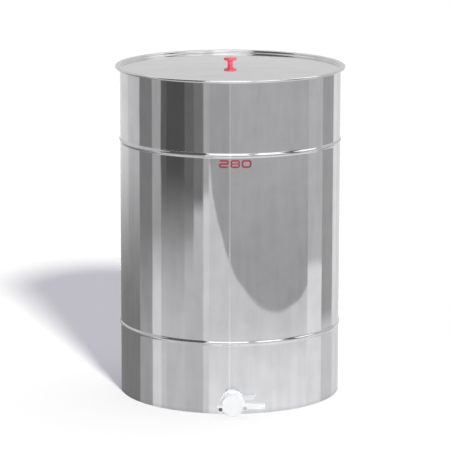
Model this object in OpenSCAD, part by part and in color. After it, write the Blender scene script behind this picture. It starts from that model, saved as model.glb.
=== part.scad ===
// Honey settling tank: a rolled sheet-steel tank with a lift-off lid and a plastic honey gate.
// Millimetres. The floor is z = 0, the tank's axis is the Z axis and the honey gate faces -Y.

/* [Tank] */
// Outside diameter of the tank wall
tank_d = 630; // [420:1:900]
// Height of the rolled rim's top above the floor
tank_h = 943; // [600:1:1400]
// Thickness of the tank's sheet
sheet_t = 1; // [0.6:0.1:1.4]
// Height of the lower stiffening ring's middle above the floor
low_ring_z = 202; // [110:1:280]
// Drop from the rolled rim's top to the upper ring's middle
high_ring_drop = 210; // [60:1:260]
// Height of a stiffening ring
ring_h = 16; // [12:0.5:24]
// How far a stiffening ring stands out of the wall
ring_out = 2.6; // [1.5:0.1:4]
// Drop from the lower ring's edge to the top of the skirt below it
skirt_drop = 4; // [2:0.5:10]
// Width of the skirt's front panel, where the outlet goes through
outlet_panel_w = 120; // [90:1:200]
// Diameter of the wire inside the rolled rim
wire_d = 5; // [3:0.5:8]
// Height of the bottom's upturned flange
bottom_flange_h = 7; // [6:0.5:20]
// Radius of the fold between the bottom and its flange
bottom_fold = 3; // [2:0.5:5]

/* [Lid] */
// Thickness of the lid's sheet
lid_t = 1; // [0.6:0.1:1.4]
// Drop from the lid's rim to the edge of its panel
lid_recess = 8; // [7.5:0.5:20]
// Rise of the panel from its edge to its middle
lid_crown = 7; // [0:0.5:12]
// Radius of the fold between the panel and its wall
lid_fold = 4; // [2:0.5:5]
// Radius of the fold over the tank's rim
rim_fold = 3; // [2:0.5:3]
// Outer radius of the lid's rolled edge
lid_roll_r = 4.3; // [3:0.1:6]
// How far the lid's edge stands out past the tank's rolled rim
lid_overhang = 6.8; // [5:0.1:12]

/* [Knob] */
// Diameter of the knob's cap
knob_d = 37; // [32:0.5:50]
// Height of the knob
knob_h = 21.5; // [19:0.5:40]
// Height of the knob's cap
knob_cap_h = 8.5; // [6:0.5:10]
// Diameter of the knob's neck at the lid
knob_neck_d = 15.5; // [13:0.5:20]
// Straight foot of the neck
knob_foot_h = 3; // [1:0.5:4]
// Rounding of the cap's edges
knob_round = 2.6; // [1:0.1:2.8]
// Diameter of the knob's screw
knob_screw_d = 5; // [4:0.5:6]
// Wall of the threaded insert
insert_wall = 1.8; // [1:0.1:2]
// Length of the threaded insert
insert_l = 11; // [8:0.5:14]

/* [Honey gate] */
// Diameter of the outlet
bore_d = 38; // [30:0.5:50]
// Wall of the threaded spigot
spigot_wall = 3.9; // [3:0.1:6]
// Radial width of the wall flange outside the thread
flange_rim = 11.4; // [9:0.1:16]
// Thickness of the wall flange
flange_t = 8; // [5:0.5:12]
// Wall of the barrel between the wall flange and the face
barrel_wall = 6.5; // [5:0.5:9]
// Length of the barrel
barrel_l = 24; // [18:0.5:36]
// Thickness of the face that the gate slides on
face_t = 8; // [6:0.5:12]
// How far the gate laps the outlet's edge
gate_lap = 11.3; // [10:0.1:16]
// Thickness of the gate
gate_t = 7.5; // [7:0.5:12]
// Radius of the gate's two lugs
lug_r = 10; // [9.5:0.5:14]
// How far a lug's middle stands outside the gate's edge, measured across the valve
lug_out = 3.7; // [2:0.1:5]
// Drop from the gate's middle to the pivot's lug
lug_drop = 11; // [6:0.5:14]
// How much higher the catch's lug sits than the pivot's
catch_lift = 3.7; // [0:0.1:5]
// How much smaller the face's outline is than the gate's
face_inset = 0.8; // [0.2:0.1:1.5]
// Height of the lever
lever_h = 15; // [12:0.5:20]
// Reach of the lever past the catch screw
lever_reach = 57; // [40:1:90]
// Height of the lever's middle above the catch screw
lever_rise = 5; // [2:0.5:6]
// Rounding of the lever's end
lever_round = 5; // [2:0.5:5.5]

/* [Seals and lock nut] */
// Thickness of the outer gasket at its thinnest
outer_gasket_t = 2; // [1:0.5:4]
// Thickness of the inner gasket at its thickest
inner_gasket_t = 3; // [2.5:0.5:6]
// How far the outer gasket lies inside the wall flange's edge
gasket_inset = 1; // [0.5:0.5:3]
// Thickness of the gate's seal ring
seal_d = 3; // [2:0.1:3.4]
// Distance from the outlet's edge to the middle of the seal ring
seal_out = 4.5; // [4:0.1:5]
// Radial width of the lock nut outside the thread
lock_nut_rim = 5; // [4:0.5:10]
// Thickness of the lock nut
lock_nut_t = 10; // [6:0.5:14]
// Height of the lock nut above the bottom's flange
lock_nut_lift = 1.6; // [1:0.1:30]
// Length of thread past the lock nut
thread_past_nut = 3; // [1:0.5:8]

/* [Fasteners] */
// Diameter of the gate's two screws
screw_d = 6; // [5:0.5:6]
// Diameter of the screws' shoulders
shoulder_d = 8; // [7:0.5:9]
// Diameter of the screws' heads
head_d = 10.5; // [10:0.5:12]
// Height of the screws' heads
head_h = 3.3; // [2.5:0.1:3.5]
// Chamfer of the screws' heads
head_chamfer = 1; // [0.5:0.1:1.2]
// Width across flats of the hexagon sockets
socket_af = 5; // [3:0.5:5]
// Depth of the hexagon sockets
socket_depth = 2.2; // [1:0.1:2.4]
// Diameter of the plain washers
washer_d = 12; // [10:0.5:14]
// Thickness of the plain washers
washer_t = 1.2; // [0.8:0.1:2]
// Width across flats of the screws' nuts
nut_af = 10; // [9:0.5:11]
// Thickness of the screws' nuts
nut_t = 5; // [3:0.5:6]
// Length of thread past a screw's nut
thread_past = 2; // [1:0.5:3]
// Diameter of the knob screw's head
knob_head_d = 10; // [8:0.5:12]
// Diameter of the washer below the lid
knob_washer_d = 18; // [14:0.5:22]

/* [Fits] */
// Gap between pieces that are welded, screwed or pressed together
seat_gap = 0.05; // [0.02:0.01:0.1]
// Radial clearance of the gate on its pivot
run_gap = 0.05; // [0.02:0.01:0.09]
// Radial clearance of a through hole
hole_gap = 0.3; // [0.2:0.05:0.5]
// Gap between the lid and the rolled rim that carries it
lid_seat_gap = 0.3; // [0.2:0.05:0.6]
// Gap between the lid's wall and the inside of the tank
lid_side_gap = 1.2; // [0.8:0.1:3]
// Gap between the gate and the face behind it
gate_gap = 0.4; // [0.3:0.05:0.6]
// Gap between the seal ring and the gate
seal_gap = 0.1; // [0.05:0.05:0.2]
// Gap between the gate and the heads of its screws
head_gap = 0.3; // [0.2:0.05:0.5]
// Clearance of the catch screw's shoulder in its slot, each side
slot_gap = 0.4; // [0.4:0.05:0.8]

/* [Hidden] */
$fn = 96;
WALL_FN = 256;
RING_STEPS = 6;
CURL_STEPS = 20;
FOLD_STEPS = 8;
CROWN_STEPS = 12;
CURL_END = -120;
ROLL_END = -110;
CUT = 1;

tank_r = tank_d / 2;
inner_r = tank_r - sheet_t;
wall_r = tank_r - sheet_t / 2;
high_ring_z = tank_h - high_ring_drop;
skirt_h = low_ring_z - ring_h / 2 - skirt_drop;

// The rolled rim: its outer face is tangent to the inside of the wall
curl_r = wire_d / 2 + seat_gap + sheet_t;
curl_x = inner_r + curl_r;
curl_z = tank_h - curl_r;

// A stiffening ring is a crown arc between two blend arcs of the same radius and angle
ring_angle = 2 * atan(ring_out / (ring_h / 2));
ring_r = ring_h / 4 / sin(ring_angle);

bottom_r = inner_r - seat_gap - sheet_t / 2;

// The lid's sheet, on its middle line
lid_r = curl_x + curl_r + lid_overhang;
lid_top = tank_h + lid_seat_gap + lid_t;
lid_rim_z = lid_top - lid_t / 2;
lid_wall_r = inner_r - lid_side_gap - lid_t / 2;
lid_edge_z = lid_rim_z - lid_recess;
lid_edge_r = lid_wall_r - lid_fold;
lid_mid_z = lid_edge_z + lid_crown;
lid_roll_x = lid_r - lid_roll_r;
lid_roll_mid = lid_roll_r - lid_t / 2;
knob_seat_r = knob_washer_d / 2 + lid_fold;

knob_z = lid_mid_z + lid_t / 2;
knob_neck_r = knob_neck_d / 2;
knob_cap_z = knob_h - knob_cap_h;
flare_r = min(knob_cap_z - knob_foot_h, knob_d / 2 - knob_round - knob_neck_r);
flare_z = knob_cap_z - flare_r;
insert_r = knob_screw_d / 2 + seat_gap + insert_wall;

// The honey gate, measured across its axis
bore_r = bore_d / 2;
thread_r = bore_r + spigot_wall;
flange_r = thread_r + flange_rim;
barrel_r = bore_r + barrel_wall;
gate_r = bore_r + gate_lap;
face_r = gate_r - face_inset;
seal_r = bore_r + seal_out;
lug_x = gate_r + lug_out;
pivot_lug = [-lug_x, -lug_drop];
catch_lug = [lug_x, catch_lift - lug_drop];
lock_nut_af = 2 * (thread_r + lock_nut_rim);
outlet_z = bottom_flange_h + lock_nut_lift + lock_nut_af / 2;

// The honey gate, measured outwards from the front of the tank wall
flange_s = outer_gasket_t;
barrel_s = flange_s + flange_t;
face_s = barrel_s + barrel_l;
gate_s = face_s + face_t + gate_gap;
nut_s = -sheet_t - inner_gasket_t;
spigot_s = nut_s - lock_nut_t - thread_past_nut;
face_front = face_s + face_t;
head_seat = gate_t - head_h - 2 * head_gap;
slot_r = shoulder_d / 2 + slot_gap;
groove_w = seal_d + 2 * seat_gap;
seal_proud = gate_gap - seal_gap;
groove_depth = seal_d - seal_proud;

STEEL = "silver";
BRIGHT = "gainsboro";
WHITE = "whitesmoke";
RED = "crimson";
SILICONE = "lightgray";
BRASS = "goldenrod";

// Points of an arc without its first point, for joining to the end of a path
function arc(x, y, r, from, to, steps) =
    [for (i = [1 : steps]) let (a = from + (to - from) * i / steps) [x + r * cos(a), y + r * sin(a)]];

function unit(v) = v / norm(v);
function left_of(v) = [-v[1], v[0]];
function step_of(path, i) = unit(path[i + 1] - path[i]);

// The shift at a path's point that keeps a sheet's thickness on both sides of a bend
function shift_at(path, i) =
    let (last = len(path) - 1)
    let (before = left_of(step_of(path, max(i - 1, 0))))
    let (after = left_of(step_of(path, min(i, last - 1))))
    let (middle = unit(before + after))
    middle / (middle * before);

function beside(path, d) = [for (i = [0 : len(path) - 1]) path[i] + d * shift_at(path, i)];
function reversed(list) = [for (i = [len(list) - 1 : -1 : 0]) list[i]];

// A bent sheet's section from its middle line
module sheet(path, t) {
    polygon(concat(beside(path, t / 2), reversed(beside(path, -t / 2))));
}

// A stiffening ring's middle line, upwards
function ring_path(z) = concat(
    [[wall_r, z - ring_h / 2]],
    arc(wall_r + ring_r, z - ring_h / 2, ring_r, 180, 180 - ring_angle, RING_STEPS),
    arc(wall_r + ring_out - ring_r, z, ring_r, -ring_angle, ring_angle, 2 * RING_STEPS),
    arc(wall_r + ring_r, z + ring_h / 2, ring_r, 180 + ring_angle, 180, RING_STEPS)
);

shell_path = concat(
    [[wall_r, skirt_h + seat_gap]],
    ring_path(low_ring_z),
    ring_path(high_ring_z),
    [[wall_r, curl_z]],
    arc(curl_x, curl_z, curl_r - sheet_t / 2, 180, CURL_END, CURL_STEPS)
);

bottom_path = concat(
    [[0, sheet_t / 2], [bottom_r - bottom_fold, sheet_t / 2]],
    arc(bottom_r - bottom_fold, sheet_t / 2 + bottom_fold, bottom_fold, -90, 0, FOLD_STEPS),
    [[bottom_r, bottom_flange_h]]
);

// The panel's crown falls from its flat middle to its edge as half a cosine wave
function crown_z(r) =
    lid_edge_z + lid_crown * (1 + cos(180 * (r - knob_seat_r) / (lid_edge_r - knob_seat_r))) / 2;

lid_path = concat(
    [[knob_screw_d / 2 + hole_gap, lid_mid_z]],
    [for (i = [0 : CROWN_STEPS])
        let (r = knob_seat_r + (lid_edge_r - knob_seat_r) * i / CROWN_STEPS) [r, crown_z(r)]],
    arc(lid_edge_r, lid_edge_z + lid_fold, lid_fold, -90, 0, FOLD_STEPS),
    [[lid_wall_r, lid_rim_z - rim_fold]],
    arc(lid_wall_r + rim_fold, lid_rim_z - rim_fold, rim_fold, 180, 90, FOLD_STEPS),
    [[lid_roll_x, lid_rim_z]],
    arc(lid_roll_x, lid_rim_z - lid_roll_mid, lid_roll_mid, 90, ROLL_END, CURL_STEPS)
);

knob_outline = concat(
    [[0, 0], [knob_neck_r, 0], [knob_neck_r, flare_z]],
    arc(knob_neck_r + flare_r, flare_z, flare_r, 180, 100, FOLD_STEPS),
    [[knob_d / 2 - knob_round, knob_cap_z]],
    arc(knob_d / 2 - knob_round, knob_cap_z + knob_round, knob_round, -90, 0, FOLD_STEPS),
    [[knob_d / 2, knob_h - knob_round]],
    arc(knob_d / 2 - knob_round, knob_h - knob_round, knob_round, 0, 90, FOLD_STEPS),
    [[0, knob_h]]
);

// Moves to the front of the tank wall at the outlet: x across, y up, z outwards
module at_outlet() {
    translate([0, -tank_r, outlet_z]) rotate([90, 0, 0]) children();
}

// Moves to a lug, s outwards from the wall
module at_lug(lug, s) {
    at_outlet() translate([lug[0], lug[1], s]) children();
}

module ring(outer_r, hole_r, h) {
    difference() {
        cylinder(r = outer_r, h = h);
        translate([0, 0, -CUT]) cylinder(r = hole_r, h = h + 2 * CUT);
    }
}

module hexagon_bar(af, h) {
    cylinder(r = af / 2 / cos(30), h = h, $fn = 6);
}

// The gate's disc and its two lugs
module disc_and_lugs(disc_r, ear_r) {
    circle(r = disc_r);
    for (lug = [pivot_lug, catch_lug]) translate(lug) circle(r = ear_r);
}

module lever_outline() {
    end_x = lug_x + lever_reach;
    low = catch_lug[1] + lever_rise - lever_h / 2;
    translate([lug_x, low]) square([lever_reach - lever_round, lever_h]);
    translate([lug_x, low + lever_round]) square([lever_reach, lever_h - 2 * lever_round]);
    for (y = [low + lever_round, low + lever_h - lever_round])
        translate([end_x - lever_round, y]) circle(r = lever_round);
}

// The slot that lets the gate lift off the catch screw, open downwards
module catch_slot() {
    translate(catch_lug) {
        circle(r = slot_r);
        translate([-slot_r, -lug_r - CUT]) square([2 * slot_r, lug_r + CUT]);
    }
}

module tank_shell() {
    color(STEEL) rotate_extrude() sheet(shell_path, sheet_t);
}

// A block over the front of the skirt
module front_block(w) {
    translate([-w / 2, -tank_r - CUT, -CUT]) cube([w, tank_r, skirt_h + 2 * CUT]);
}

// The lowest part of the wall, without its front panel
module tank_skirt() {
    color(STEEL) difference() {
        ring(tank_r, inner_r, skirt_h);
        front_block(outlet_panel_w + 2 * seat_gap);
    }
}

module outlet_panel() {
    color(STEEL) difference() {
        intersection() {
            ring(tank_r, inner_r, skirt_h);
            front_block(outlet_panel_w);
        }
        at_outlet() translate([0, 0, nut_s]) cylinder(r = thread_r + hole_gap, h = gate_s - nut_s);
    }
}

module rim_wire() {
    color(BRIGHT) rotate_extrude() translate([curl_x, curl_z]) circle(r = wire_d / 2);
}

module tank_bottom() {
    color(STEEL) rotate_extrude() sheet(bottom_path, sheet_t);
}

module lid_pan() {
    color(STEEL) rotate_extrude() sheet(lid_path, lid_t);
}

module lid_knob() {
    color(RED) translate([0, 0, knob_z]) difference() {
        rotate_extrude() polygon(knob_outline);
        translate([0, 0, -CUT]) cylinder(r = insert_r + seat_gap, h = insert_l + seat_gap + CUT);
    }
}

module knob_insert() {
    color(BRASS) translate([0, 0, knob_z]) ring(insert_r, knob_screw_d / 2 + seat_gap, insert_l);
}

module knob_washer() {
    color(BRIGHT) translate([0, 0, lid_mid_z - lid_t / 2 - washer_t])
        ring(knob_washer_d / 2, knob_screw_d / 2 + hole_gap, washer_t);
}

// A screw's head from its seat, with a chamfered edge and a hexagon socket
module screw_head(d) {
    edge_z = head_h - head_chamfer;
    difference() {
        union() {
            cylinder(d = d, h = edge_z);
            translate([0, 0, edge_z]) cylinder(d1 = d, d2 = d - 2 * head_chamfer, h = head_chamfer);
        }
        translate([0, 0, head_h - socket_depth]) hexagon_bar(socket_af, socket_depth + CUT);
    }
}

module knob_screw() {
    grip = washer_t + lid_t + insert_l;
    seat_z = lid_mid_z - lid_t / 2 - washer_t;
    color(BRIGHT) translate([0, 0, seat_z]) {
        cylinder(d = knob_screw_d, h = grip);
        mirror([0, 0, 1]) screw_head(knob_head_d);
    }
}

module valve_body() {
    color(WHITE) at_outlet() difference() {
        union() {
            translate([0, 0, spigot_s]) cylinder(r = thread_r, h = flange_s - spigot_s + CUT);
            translate([0, 0, flange_s]) cylinder(r = flange_r, h = flange_t);
            translate([0, 0, barrel_s - CUT]) cylinder(r = barrel_r, h = barrel_l + 2 * CUT);
            translate([0, 0, face_s])
                linear_extrude(face_t) disc_and_lugs(face_r, lug_r - face_inset);
        }
        translate([0, 0, spigot_s - CUT]) cylinder(r = bore_r, h = face_front - spigot_s + 2 * CUT);
        translate([0, 0, face_front - groove_depth])
            ring(seal_r + groove_w / 2, seal_r - groove_w / 2, groove_depth + CUT);
        for (lug = [pivot_lug, catch_lug]) translate([lug[0], lug[1], face_s - CUT])
            cylinder(d = screw_d + 2 * seat_gap, h = face_t + 2 * CUT);
    }
}

module outer_gasket() {
    color(SILICONE) difference() {
        at_outlet() translate([0, 0, -tank_r / 2])
            ring(flange_r - gasket_inset, thread_r + hole_gap, tank_r / 2 + outer_gasket_t);
        cylinder(r = tank_r + seat_gap, h = tank_h, $fn = WALL_FN);
    }
}

module inner_gasket() {
    color(SILICONE) intersection() {
        at_outlet() translate([0, 0, nut_s])
            ring(lock_nut_af / 2, thread_r + hole_gap, inner_gasket_t + sheet_t);
        cylinder(r = inner_r - seat_gap, h = tank_h, $fn = WALL_FN);
    }
}

module lock_nut() {
    color(WHITE) at_outlet() translate([0, 0, nut_s - lock_nut_t]) difference() {
        hexagon_bar(lock_nut_af, lock_nut_t);
        translate([0, 0, -CUT]) cylinder(r = thread_r + seat_gap, h = lock_nut_t + 2 * CUT);
    }
}

module seal_ring() {
    color(SILICONE) at_outlet() translate([0, 0, face_front + seal_proud - seal_d / 2])
        rotate_extrude() translate([seal_r, 0]) circle(d = seal_d);
}

module gate_plate() {
    color(WHITE) at_outlet() translate([0, 0, gate_s]) difference() {
        linear_extrude(gate_t) difference() {
            union() {
                disc_and_lugs(gate_r, lug_r);
                lever_outline();
            }
            catch_slot();
        }
        translate(pivot_lug) {
            translate([0, 0, -CUT]) cylinder(d = shoulder_d + 2 * run_gap, h = gate_t + 2 * CUT);
            translate([0, 0, head_seat]) cylinder(d = head_d + 2 * hole_gap, h = gate_t);
        }
    }
}

// A shouldered screw from the face outwards, its thread running back through a lug, washer and nut
module shoulder_screw(shoulder_l) {
    thread_l = face_t + washer_t + nut_t + thread_past;
    translate([0, 0, -thread_l]) cylinder(d = screw_d, h = thread_l + CUT);
    cylinder(d = shoulder_d, h = shoulder_l);
    translate([0, 0, shoulder_l]) screw_head(head_d);
}

module pivot_screw() {
    color(BRIGHT) at_lug(pivot_lug, face_front) shoulder_screw(gate_gap + head_seat + head_gap);
}

module catch_screw() {
    color(BRIGHT) at_lug(catch_lug, face_front) shoulder_screw(gate_gap + gate_t + head_gap);
}

module lug_washer(lug) {
    color(BRIGHT) at_lug(lug, face_s - washer_t)
        ring(washer_d / 2, screw_d / 2 + hole_gap, washer_t);
}

module lug_nut(lug) {
    color(BRIGHT) at_lug(lug, face_s - washer_t - nut_t) difference() {
        hexagon_bar(nut_af, nut_t);
        translate([0, 0, -CUT]) cylinder(d = screw_d + 2 * seat_gap, h = nut_t + 2 * CUT);
    }
}

module pivot_washer() {
    lug_washer(pivot_lug);
}

module pivot_nut() {
    lug_nut(pivot_lug);
}

module catch_washer() {
    lug_washer(catch_lug);
}

module catch_nut() {
    lug_nut(catch_lug);
}

tank_shell();
tank_skirt();
outlet_panel();
rim_wire();
tank_bottom();
lid_pan();
lid_knob();
knob_insert();
knob_screw();
knob_washer();
valve_body();
outer_gasket();
inner_gasket();
lock_nut();
seal_ring();
gate_plate();
pivot_screw();
pivot_washer();
pivot_nut();
catch_screw();
catch_washer();
catch_nut();
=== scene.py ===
"""Looks of the honey settling tank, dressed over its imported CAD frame.

Sizes are millimetres in the frame of the CAD: the floor is z = 0, the tank's axis is the Z axis
and the honey gate faces -Y. Meshes are written in metres, and the studio is set out in metres.
"""

import logging
import math
from collections.abc import Callable
from dataclasses import dataclass
from enum import Enum
from typing import Any

import bpy
import numpy as np
from mathutils import Matrix, Vector
from mathutils.geometry import delaunay_2d_cdt


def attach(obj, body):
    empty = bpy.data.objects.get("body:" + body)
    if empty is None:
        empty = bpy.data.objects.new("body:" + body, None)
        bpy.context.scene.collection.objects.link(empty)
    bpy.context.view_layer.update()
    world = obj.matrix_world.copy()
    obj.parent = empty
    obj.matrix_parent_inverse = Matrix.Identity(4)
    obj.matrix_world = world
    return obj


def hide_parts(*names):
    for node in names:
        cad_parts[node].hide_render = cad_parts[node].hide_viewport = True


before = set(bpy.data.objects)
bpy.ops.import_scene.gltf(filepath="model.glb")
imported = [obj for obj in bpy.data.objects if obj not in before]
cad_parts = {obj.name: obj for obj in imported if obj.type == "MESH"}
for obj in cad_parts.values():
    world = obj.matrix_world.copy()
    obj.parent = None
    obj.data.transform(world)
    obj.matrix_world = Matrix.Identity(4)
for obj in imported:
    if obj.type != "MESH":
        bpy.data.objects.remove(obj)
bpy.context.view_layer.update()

Array = np.ndarray
Socket = bpy.types.NodeSocket
Tree = bpy.types.NodeTree
MM = 0.001
SMOOTH_UP_TO = math.radians(32)
SAME_POINT = 1e-6
WELD_DECIMALS = 4
LEAVE_HOLES_OPEN = 2  # The kind of fill that delaunay_2d_cdt makes between loops.
FLOOR = "paper_floor"
LOG = logging.getLogger("tank")


class Body(Enum):
    """The bodies of the frame that pieces ride on."""

    TANK = "tank"
    LID = "lid"
    GATE = "gate"


class Slot(Enum):
    """The record's material slots."""

    SHEET = "polished_steel"
    WIRE = "steel_wire"
    RED = "red_plastic"
    BRASS = "brass"
    FASTENER = "fastener_steel"
    NYLON = "white_nylon"
    RUBBER = "food_rubber"


class Turn(Enum):
    """The two ways round a centre."""

    LEFT = 1
    RIGHT = -1


# Paths and outlines


def arc(x: float, y: float, radius: float, start: float, end: float, steps: int = 12) -> Array:
    """Points of an arc: the centre plus the radius along an angle that changes evenly.

    Args:
        x: Centre across.
        y: Centre up.
        radius: Radius.
        start: First angle in degrees.
        end: Last angle in degrees.
        steps: Number of equal steps.

    Returns:
        An array of steps + 1 points.
    """
    a = np.radians(np.linspace(start, end, steps + 1))
    return np.column_stack([x + radius * np.cos(a), y + radius * np.sin(a)])


def bearing(centre: Array, point: Array) -> float:
    """Angle in degrees from a centre towards a point."""
    return math.degrees(math.atan2(point[1] - centre[1], point[0] - centre[0]))


def turn(
    centre: Array, radius: float, start: float, end: float, way: Turn = Turn.LEFT, steps: int = 16
) -> Array:
    """An arc from one bearing to another, taken the stated way round: left is anticlockwise."""
    sweep = way.value * ((way.value * (end - start)) % 360)
    return arc(centre[0], centre[1], radius, start, start + sweep, steps)


def circle(x: float, y: float, radius: float, steps: int = 24) -> Array:
    """Closed section of a round bar, anticlockwise from its left."""
    return arc(x, y, radius, -180, 180, steps)[:-1]


def hole_loop(x: float, y: float, radius: float, steps: int) -> Array:
    """A round hole's loop, clockwise, without a repeat of its first point."""
    return arc(x, y, radius, 360, 0, steps)[:-1]


def upright(x: float, heights: Array) -> Array:
    """Points one above another."""
    return np.column_stack([np.full(len(heights), x), heights])


def chain(*parts: Any) -> Array:
    """One path from several in order, without points that repeat the one before.

    Args:
        *parts: Paths or single points.

    Returns:
        The joined path.
    """
    path = np.vstack([np.asarray(part, float).reshape(-1, 2) for part in parts])
    step = np.linalg.norm(np.diff(path, axis=0), axis=1)
    return path[np.r_[True, step > SAME_POINT]]


def left_shift(path: Array, closed: bool) -> Array:
    """The shift at each point that moves a path one unit to its left and mitres its bends.

    It is the mean of the left normals of the two steps that meet there, lengthened so that both
    steps move by one unit.

    Args:
        path: Points of the path.
        closed: Whether the last point joins the first.

    Returns:
        One shift for each point.
    """
    if closed:
        before, after = path - np.roll(path, 1, 0), np.roll(path, -1, 0) - path
    else:
        steps = np.diff(path, axis=0)
        before, after = np.vstack([steps[:1], steps]), np.vstack([steps, steps[-1:]])
    one, two = (
        np.column_stack([-v[:, 1], v[:, 0]]) / np.linalg.norm(v, axis=1)[:, None]
        for v in (before, after)
    )
    middle = (one + two) / np.linalg.norm(one + two, axis=1)[:, None]
    return middle / np.sum(middle * one, axis=1)[:, None]


def evenly(path: Array, spacing: float, closed: bool = True) -> Array:
    """A path with its points set again at equal distances along it.

    Args:
        path: Points of the path.
        spacing: Wanted distance between points.
        closed: Whether the last point joins the first.

    Returns:
        The new points, without a repeat of the first at the end of a closed path.
    """
    line = np.vstack([path, path[:1]]) if closed else path
    run = np.r_[0, np.cumsum(np.linalg.norm(np.diff(line, axis=0), axis=1))]
    count = max(3, round(run[-1] / spacing))
    at = np.linspace(0, run[-1], count + 1)[: count if closed else count + 1]
    return np.column_stack([np.interp(at, run, line[:, k]) for k in (0, 1)])


def rounded(corners: Array, radius: float, steps: int = 6) -> Array:
    """An open path of straight lines with each inner corner turned on a radius.

    An arc starts before its corner by the radius times the tangent of half the bend. Its centre
    lies a radius from there, on the inner side.

    Args:
        corners: The path's ends and the corners between them.
        radius: Radius at each corner.
        steps: Number of steps round each corner.

    Returns:
        Points of the rounded path.
    """
    parts = [corners[0]]
    for before, corner, after in zip(corners[:-2], corners[1:-1], corners[2:]):
        way_in, way_out = corner - before, after - corner
        way_in, way_out = way_in / np.linalg.norm(way_in), way_out / np.linalg.norm(way_out)
        bend = math.atan2(way_in[0] * way_out[1] - way_in[1] * way_out[0], way_in @ way_out)
        normal = math.copysign(1, bend) * np.array([-way_in[1], way_in[0]])
        centre = corner - way_in * radius * math.tan(abs(bend) / 2) + normal * radius
        start = bearing(centre, centre - normal)
        parts.append(arc(centre[0], centre[1], radius, start, start + math.degrees(bend), steps))
    return chain(*parts, corners[-1])


def box_loop(
    x: float, y: float, width: float, height: float, radius: float, steps: int = 6
) -> Array:
    """A rectangle with round corners, anticlockwise from its lower right corner.

    Args:
        x: Middle across.
        y: Middle up.
        width: Width.
        height: Height.
        radius: Radius of the corners.
        steps: Number of steps round each corner.

    Returns:
        Points of the loop.
    """
    across, up = width / 2 - radius, height / 2 - radius
    corners = ((across, -up), (across, up), (-across, up), (-across, -up))
    return chain(*(
        arc(x + right, y + above, radius, 90 * k - 90, 90 * k, steps)
        for k, (right, above) in enumerate(corners)
    ))


@dataclass(frozen=True)
class Circle:
    """A circle that an outline runs along, leftwards round a solid or rightwards in a fillet."""

    centre: Array
    radius: float
    way: Turn = Turn.LEFT
    steps: int = 16


def fillet(first: Circle, second: Circle, radius: float, up: bool) -> Circle:
    """The fillet that touches two circles from outside.

    Its centre is where circles about the two centres, each grown by the fillet's radius, cross.

    Args:
        first: One circle.
        second: The other circle.
        radius: Radius of the fillet.
        up: Whether the upper of the two places is wanted.

    Returns:
        The fillet's circle.
    """
    way = second.centre - first.centre
    gap = np.linalg.norm(way)
    on = ((first.radius + radius) ** 2 - (second.radius + radius) ** 2 + gap ** 2) / (2 * gap)
    off = math.sqrt((first.radius + radius) ** 2 - on ** 2)
    e = way / gap
    places = [first.centre + on * e + side * off * np.array([-e[1], e[0]]) for side in (1, -1)]
    centre = max(places, key=lambda p: p[1]) if up else min(places, key=lambda p: p[1])
    return Circle(centre, radius, Turn.RIGHT)


def along(circles: list[Circle]) -> Array:
    """A path from circle to touching circle: on each, an arc from one touch to the next.

    Args:
        circles: The circles in order. The first and the last only say where the path begins
            and ends.

    Returns:
        Points of the path.
    """
    arcs = []
    for before, on, after in zip(circles, circles[1:], circles[2:]):
        start, end = bearing(on.centre, before.centre), bearing(on.centre, after.centre)
        arcs.append(turn(on.centre, on.radius, start, end, on.way, on.steps))
    return chain(*arcs)


def edge_rows(
    low: float, high: float, low_round: float, high_round: float, steps: int = 4
) -> Array:
    """Profile of a plate's edge from its back to its front, with a quarter circle at each.

    Args:
        low: Height of the back.
        high: Height of the front.
        low_round: Radius at the back.
        high_round: Radius at the front.
        steps: Number of steps in each quarter circle.

    Returns:
        Inset and height of each row.
    """
    back = arc(low_round, low + low_round, low_round, 270, 180, steps)
    front = arc(high_round, high - high_round, high_round, 180, 90, steps)
    return chain(back, front)


# Materials


def linear(code: str) -> tuple[float, float, float, float]:
    """Turns an sRGB colour into linear light, by the standard's curve.

    Args:
        code: Hex code, such as "#C8C8CA".

    Returns:
        Red, green and blue, and an alpha of 1.
    """
    s = np.array([int(code[i:i + 2], 16) for i in (1, 3, 5)]) / 255
    r, g, b = np.where(s <= 0.04045, s / 12.92, ((s + 0.055) / 1.055) ** 2.4)
    return float(r), float(g), float(b), 1.0


def set_inputs(tree: Tree, node: bpy.types.Node, inputs: dict[str | int, Any]) -> None:
    """Gives each named input of a node its value, or a link from another node's output.

    Args:
        tree: The node's tree.
        node: The node.
        inputs: The value or the output for each input.
    """
    for name, value in inputs.items():
        if isinstance(value, Socket):
            tree.links.new(value, node.inputs[name])
        else:
            node.inputs[name].default_value = value


def add_node(
    tree: Tree, kind: str, inputs: dict[str | int, Any] | None = None, **settings: Any
) -> bpy.types.Node:
    """Adds a node with its settings and its inputs.

    Args:
        tree: The node tree that takes the node.
        kind: The node's Blender type.
        inputs: A value, or another node's output to link, for each named input.
        **settings: The node's own properties.

    Returns:
        The new node.
    """
    node = tree.nodes.new(kind)
    for name, value in settings.items():
        setattr(node, name, value)
    set_inputs(tree, node, inputs or {})
    return node


def noise(tree: Tree, place: Socket, size_mm: float, detail: float) -> Socket:
    """A cloud of values about a half, with lumps of one size and finer ones in them."""
    inputs = {"Vector": place, "Scale": 1 / (size_mm * MM), "Detail": detail}
    return add_node(tree, "ShaderNodeTexNoise", inputs).outputs["Fac"]


def calc(tree: Tree, operation: str, first: Any, second: Any = 0.0) -> Socket:
    """One step of arithmetic."""
    return add_node(tree, "ShaderNodeMath", {0: first, 1: second}, operation=operation).outputs[0]


def remap(
    tree: Tree, value: Socket, start: float, end: float, low: float = 0.0, high: float = 1.0,
    **settings: Any,
) -> Socket:
    """A value carried from one range, start to end, into another, low to high, and held there."""
    inputs = {0: value, 1: start, 2: end, 3: low, 4: high}
    return add_node(tree, "ShaderNodeMapRange", inputs, **settings).outputs[0]


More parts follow.
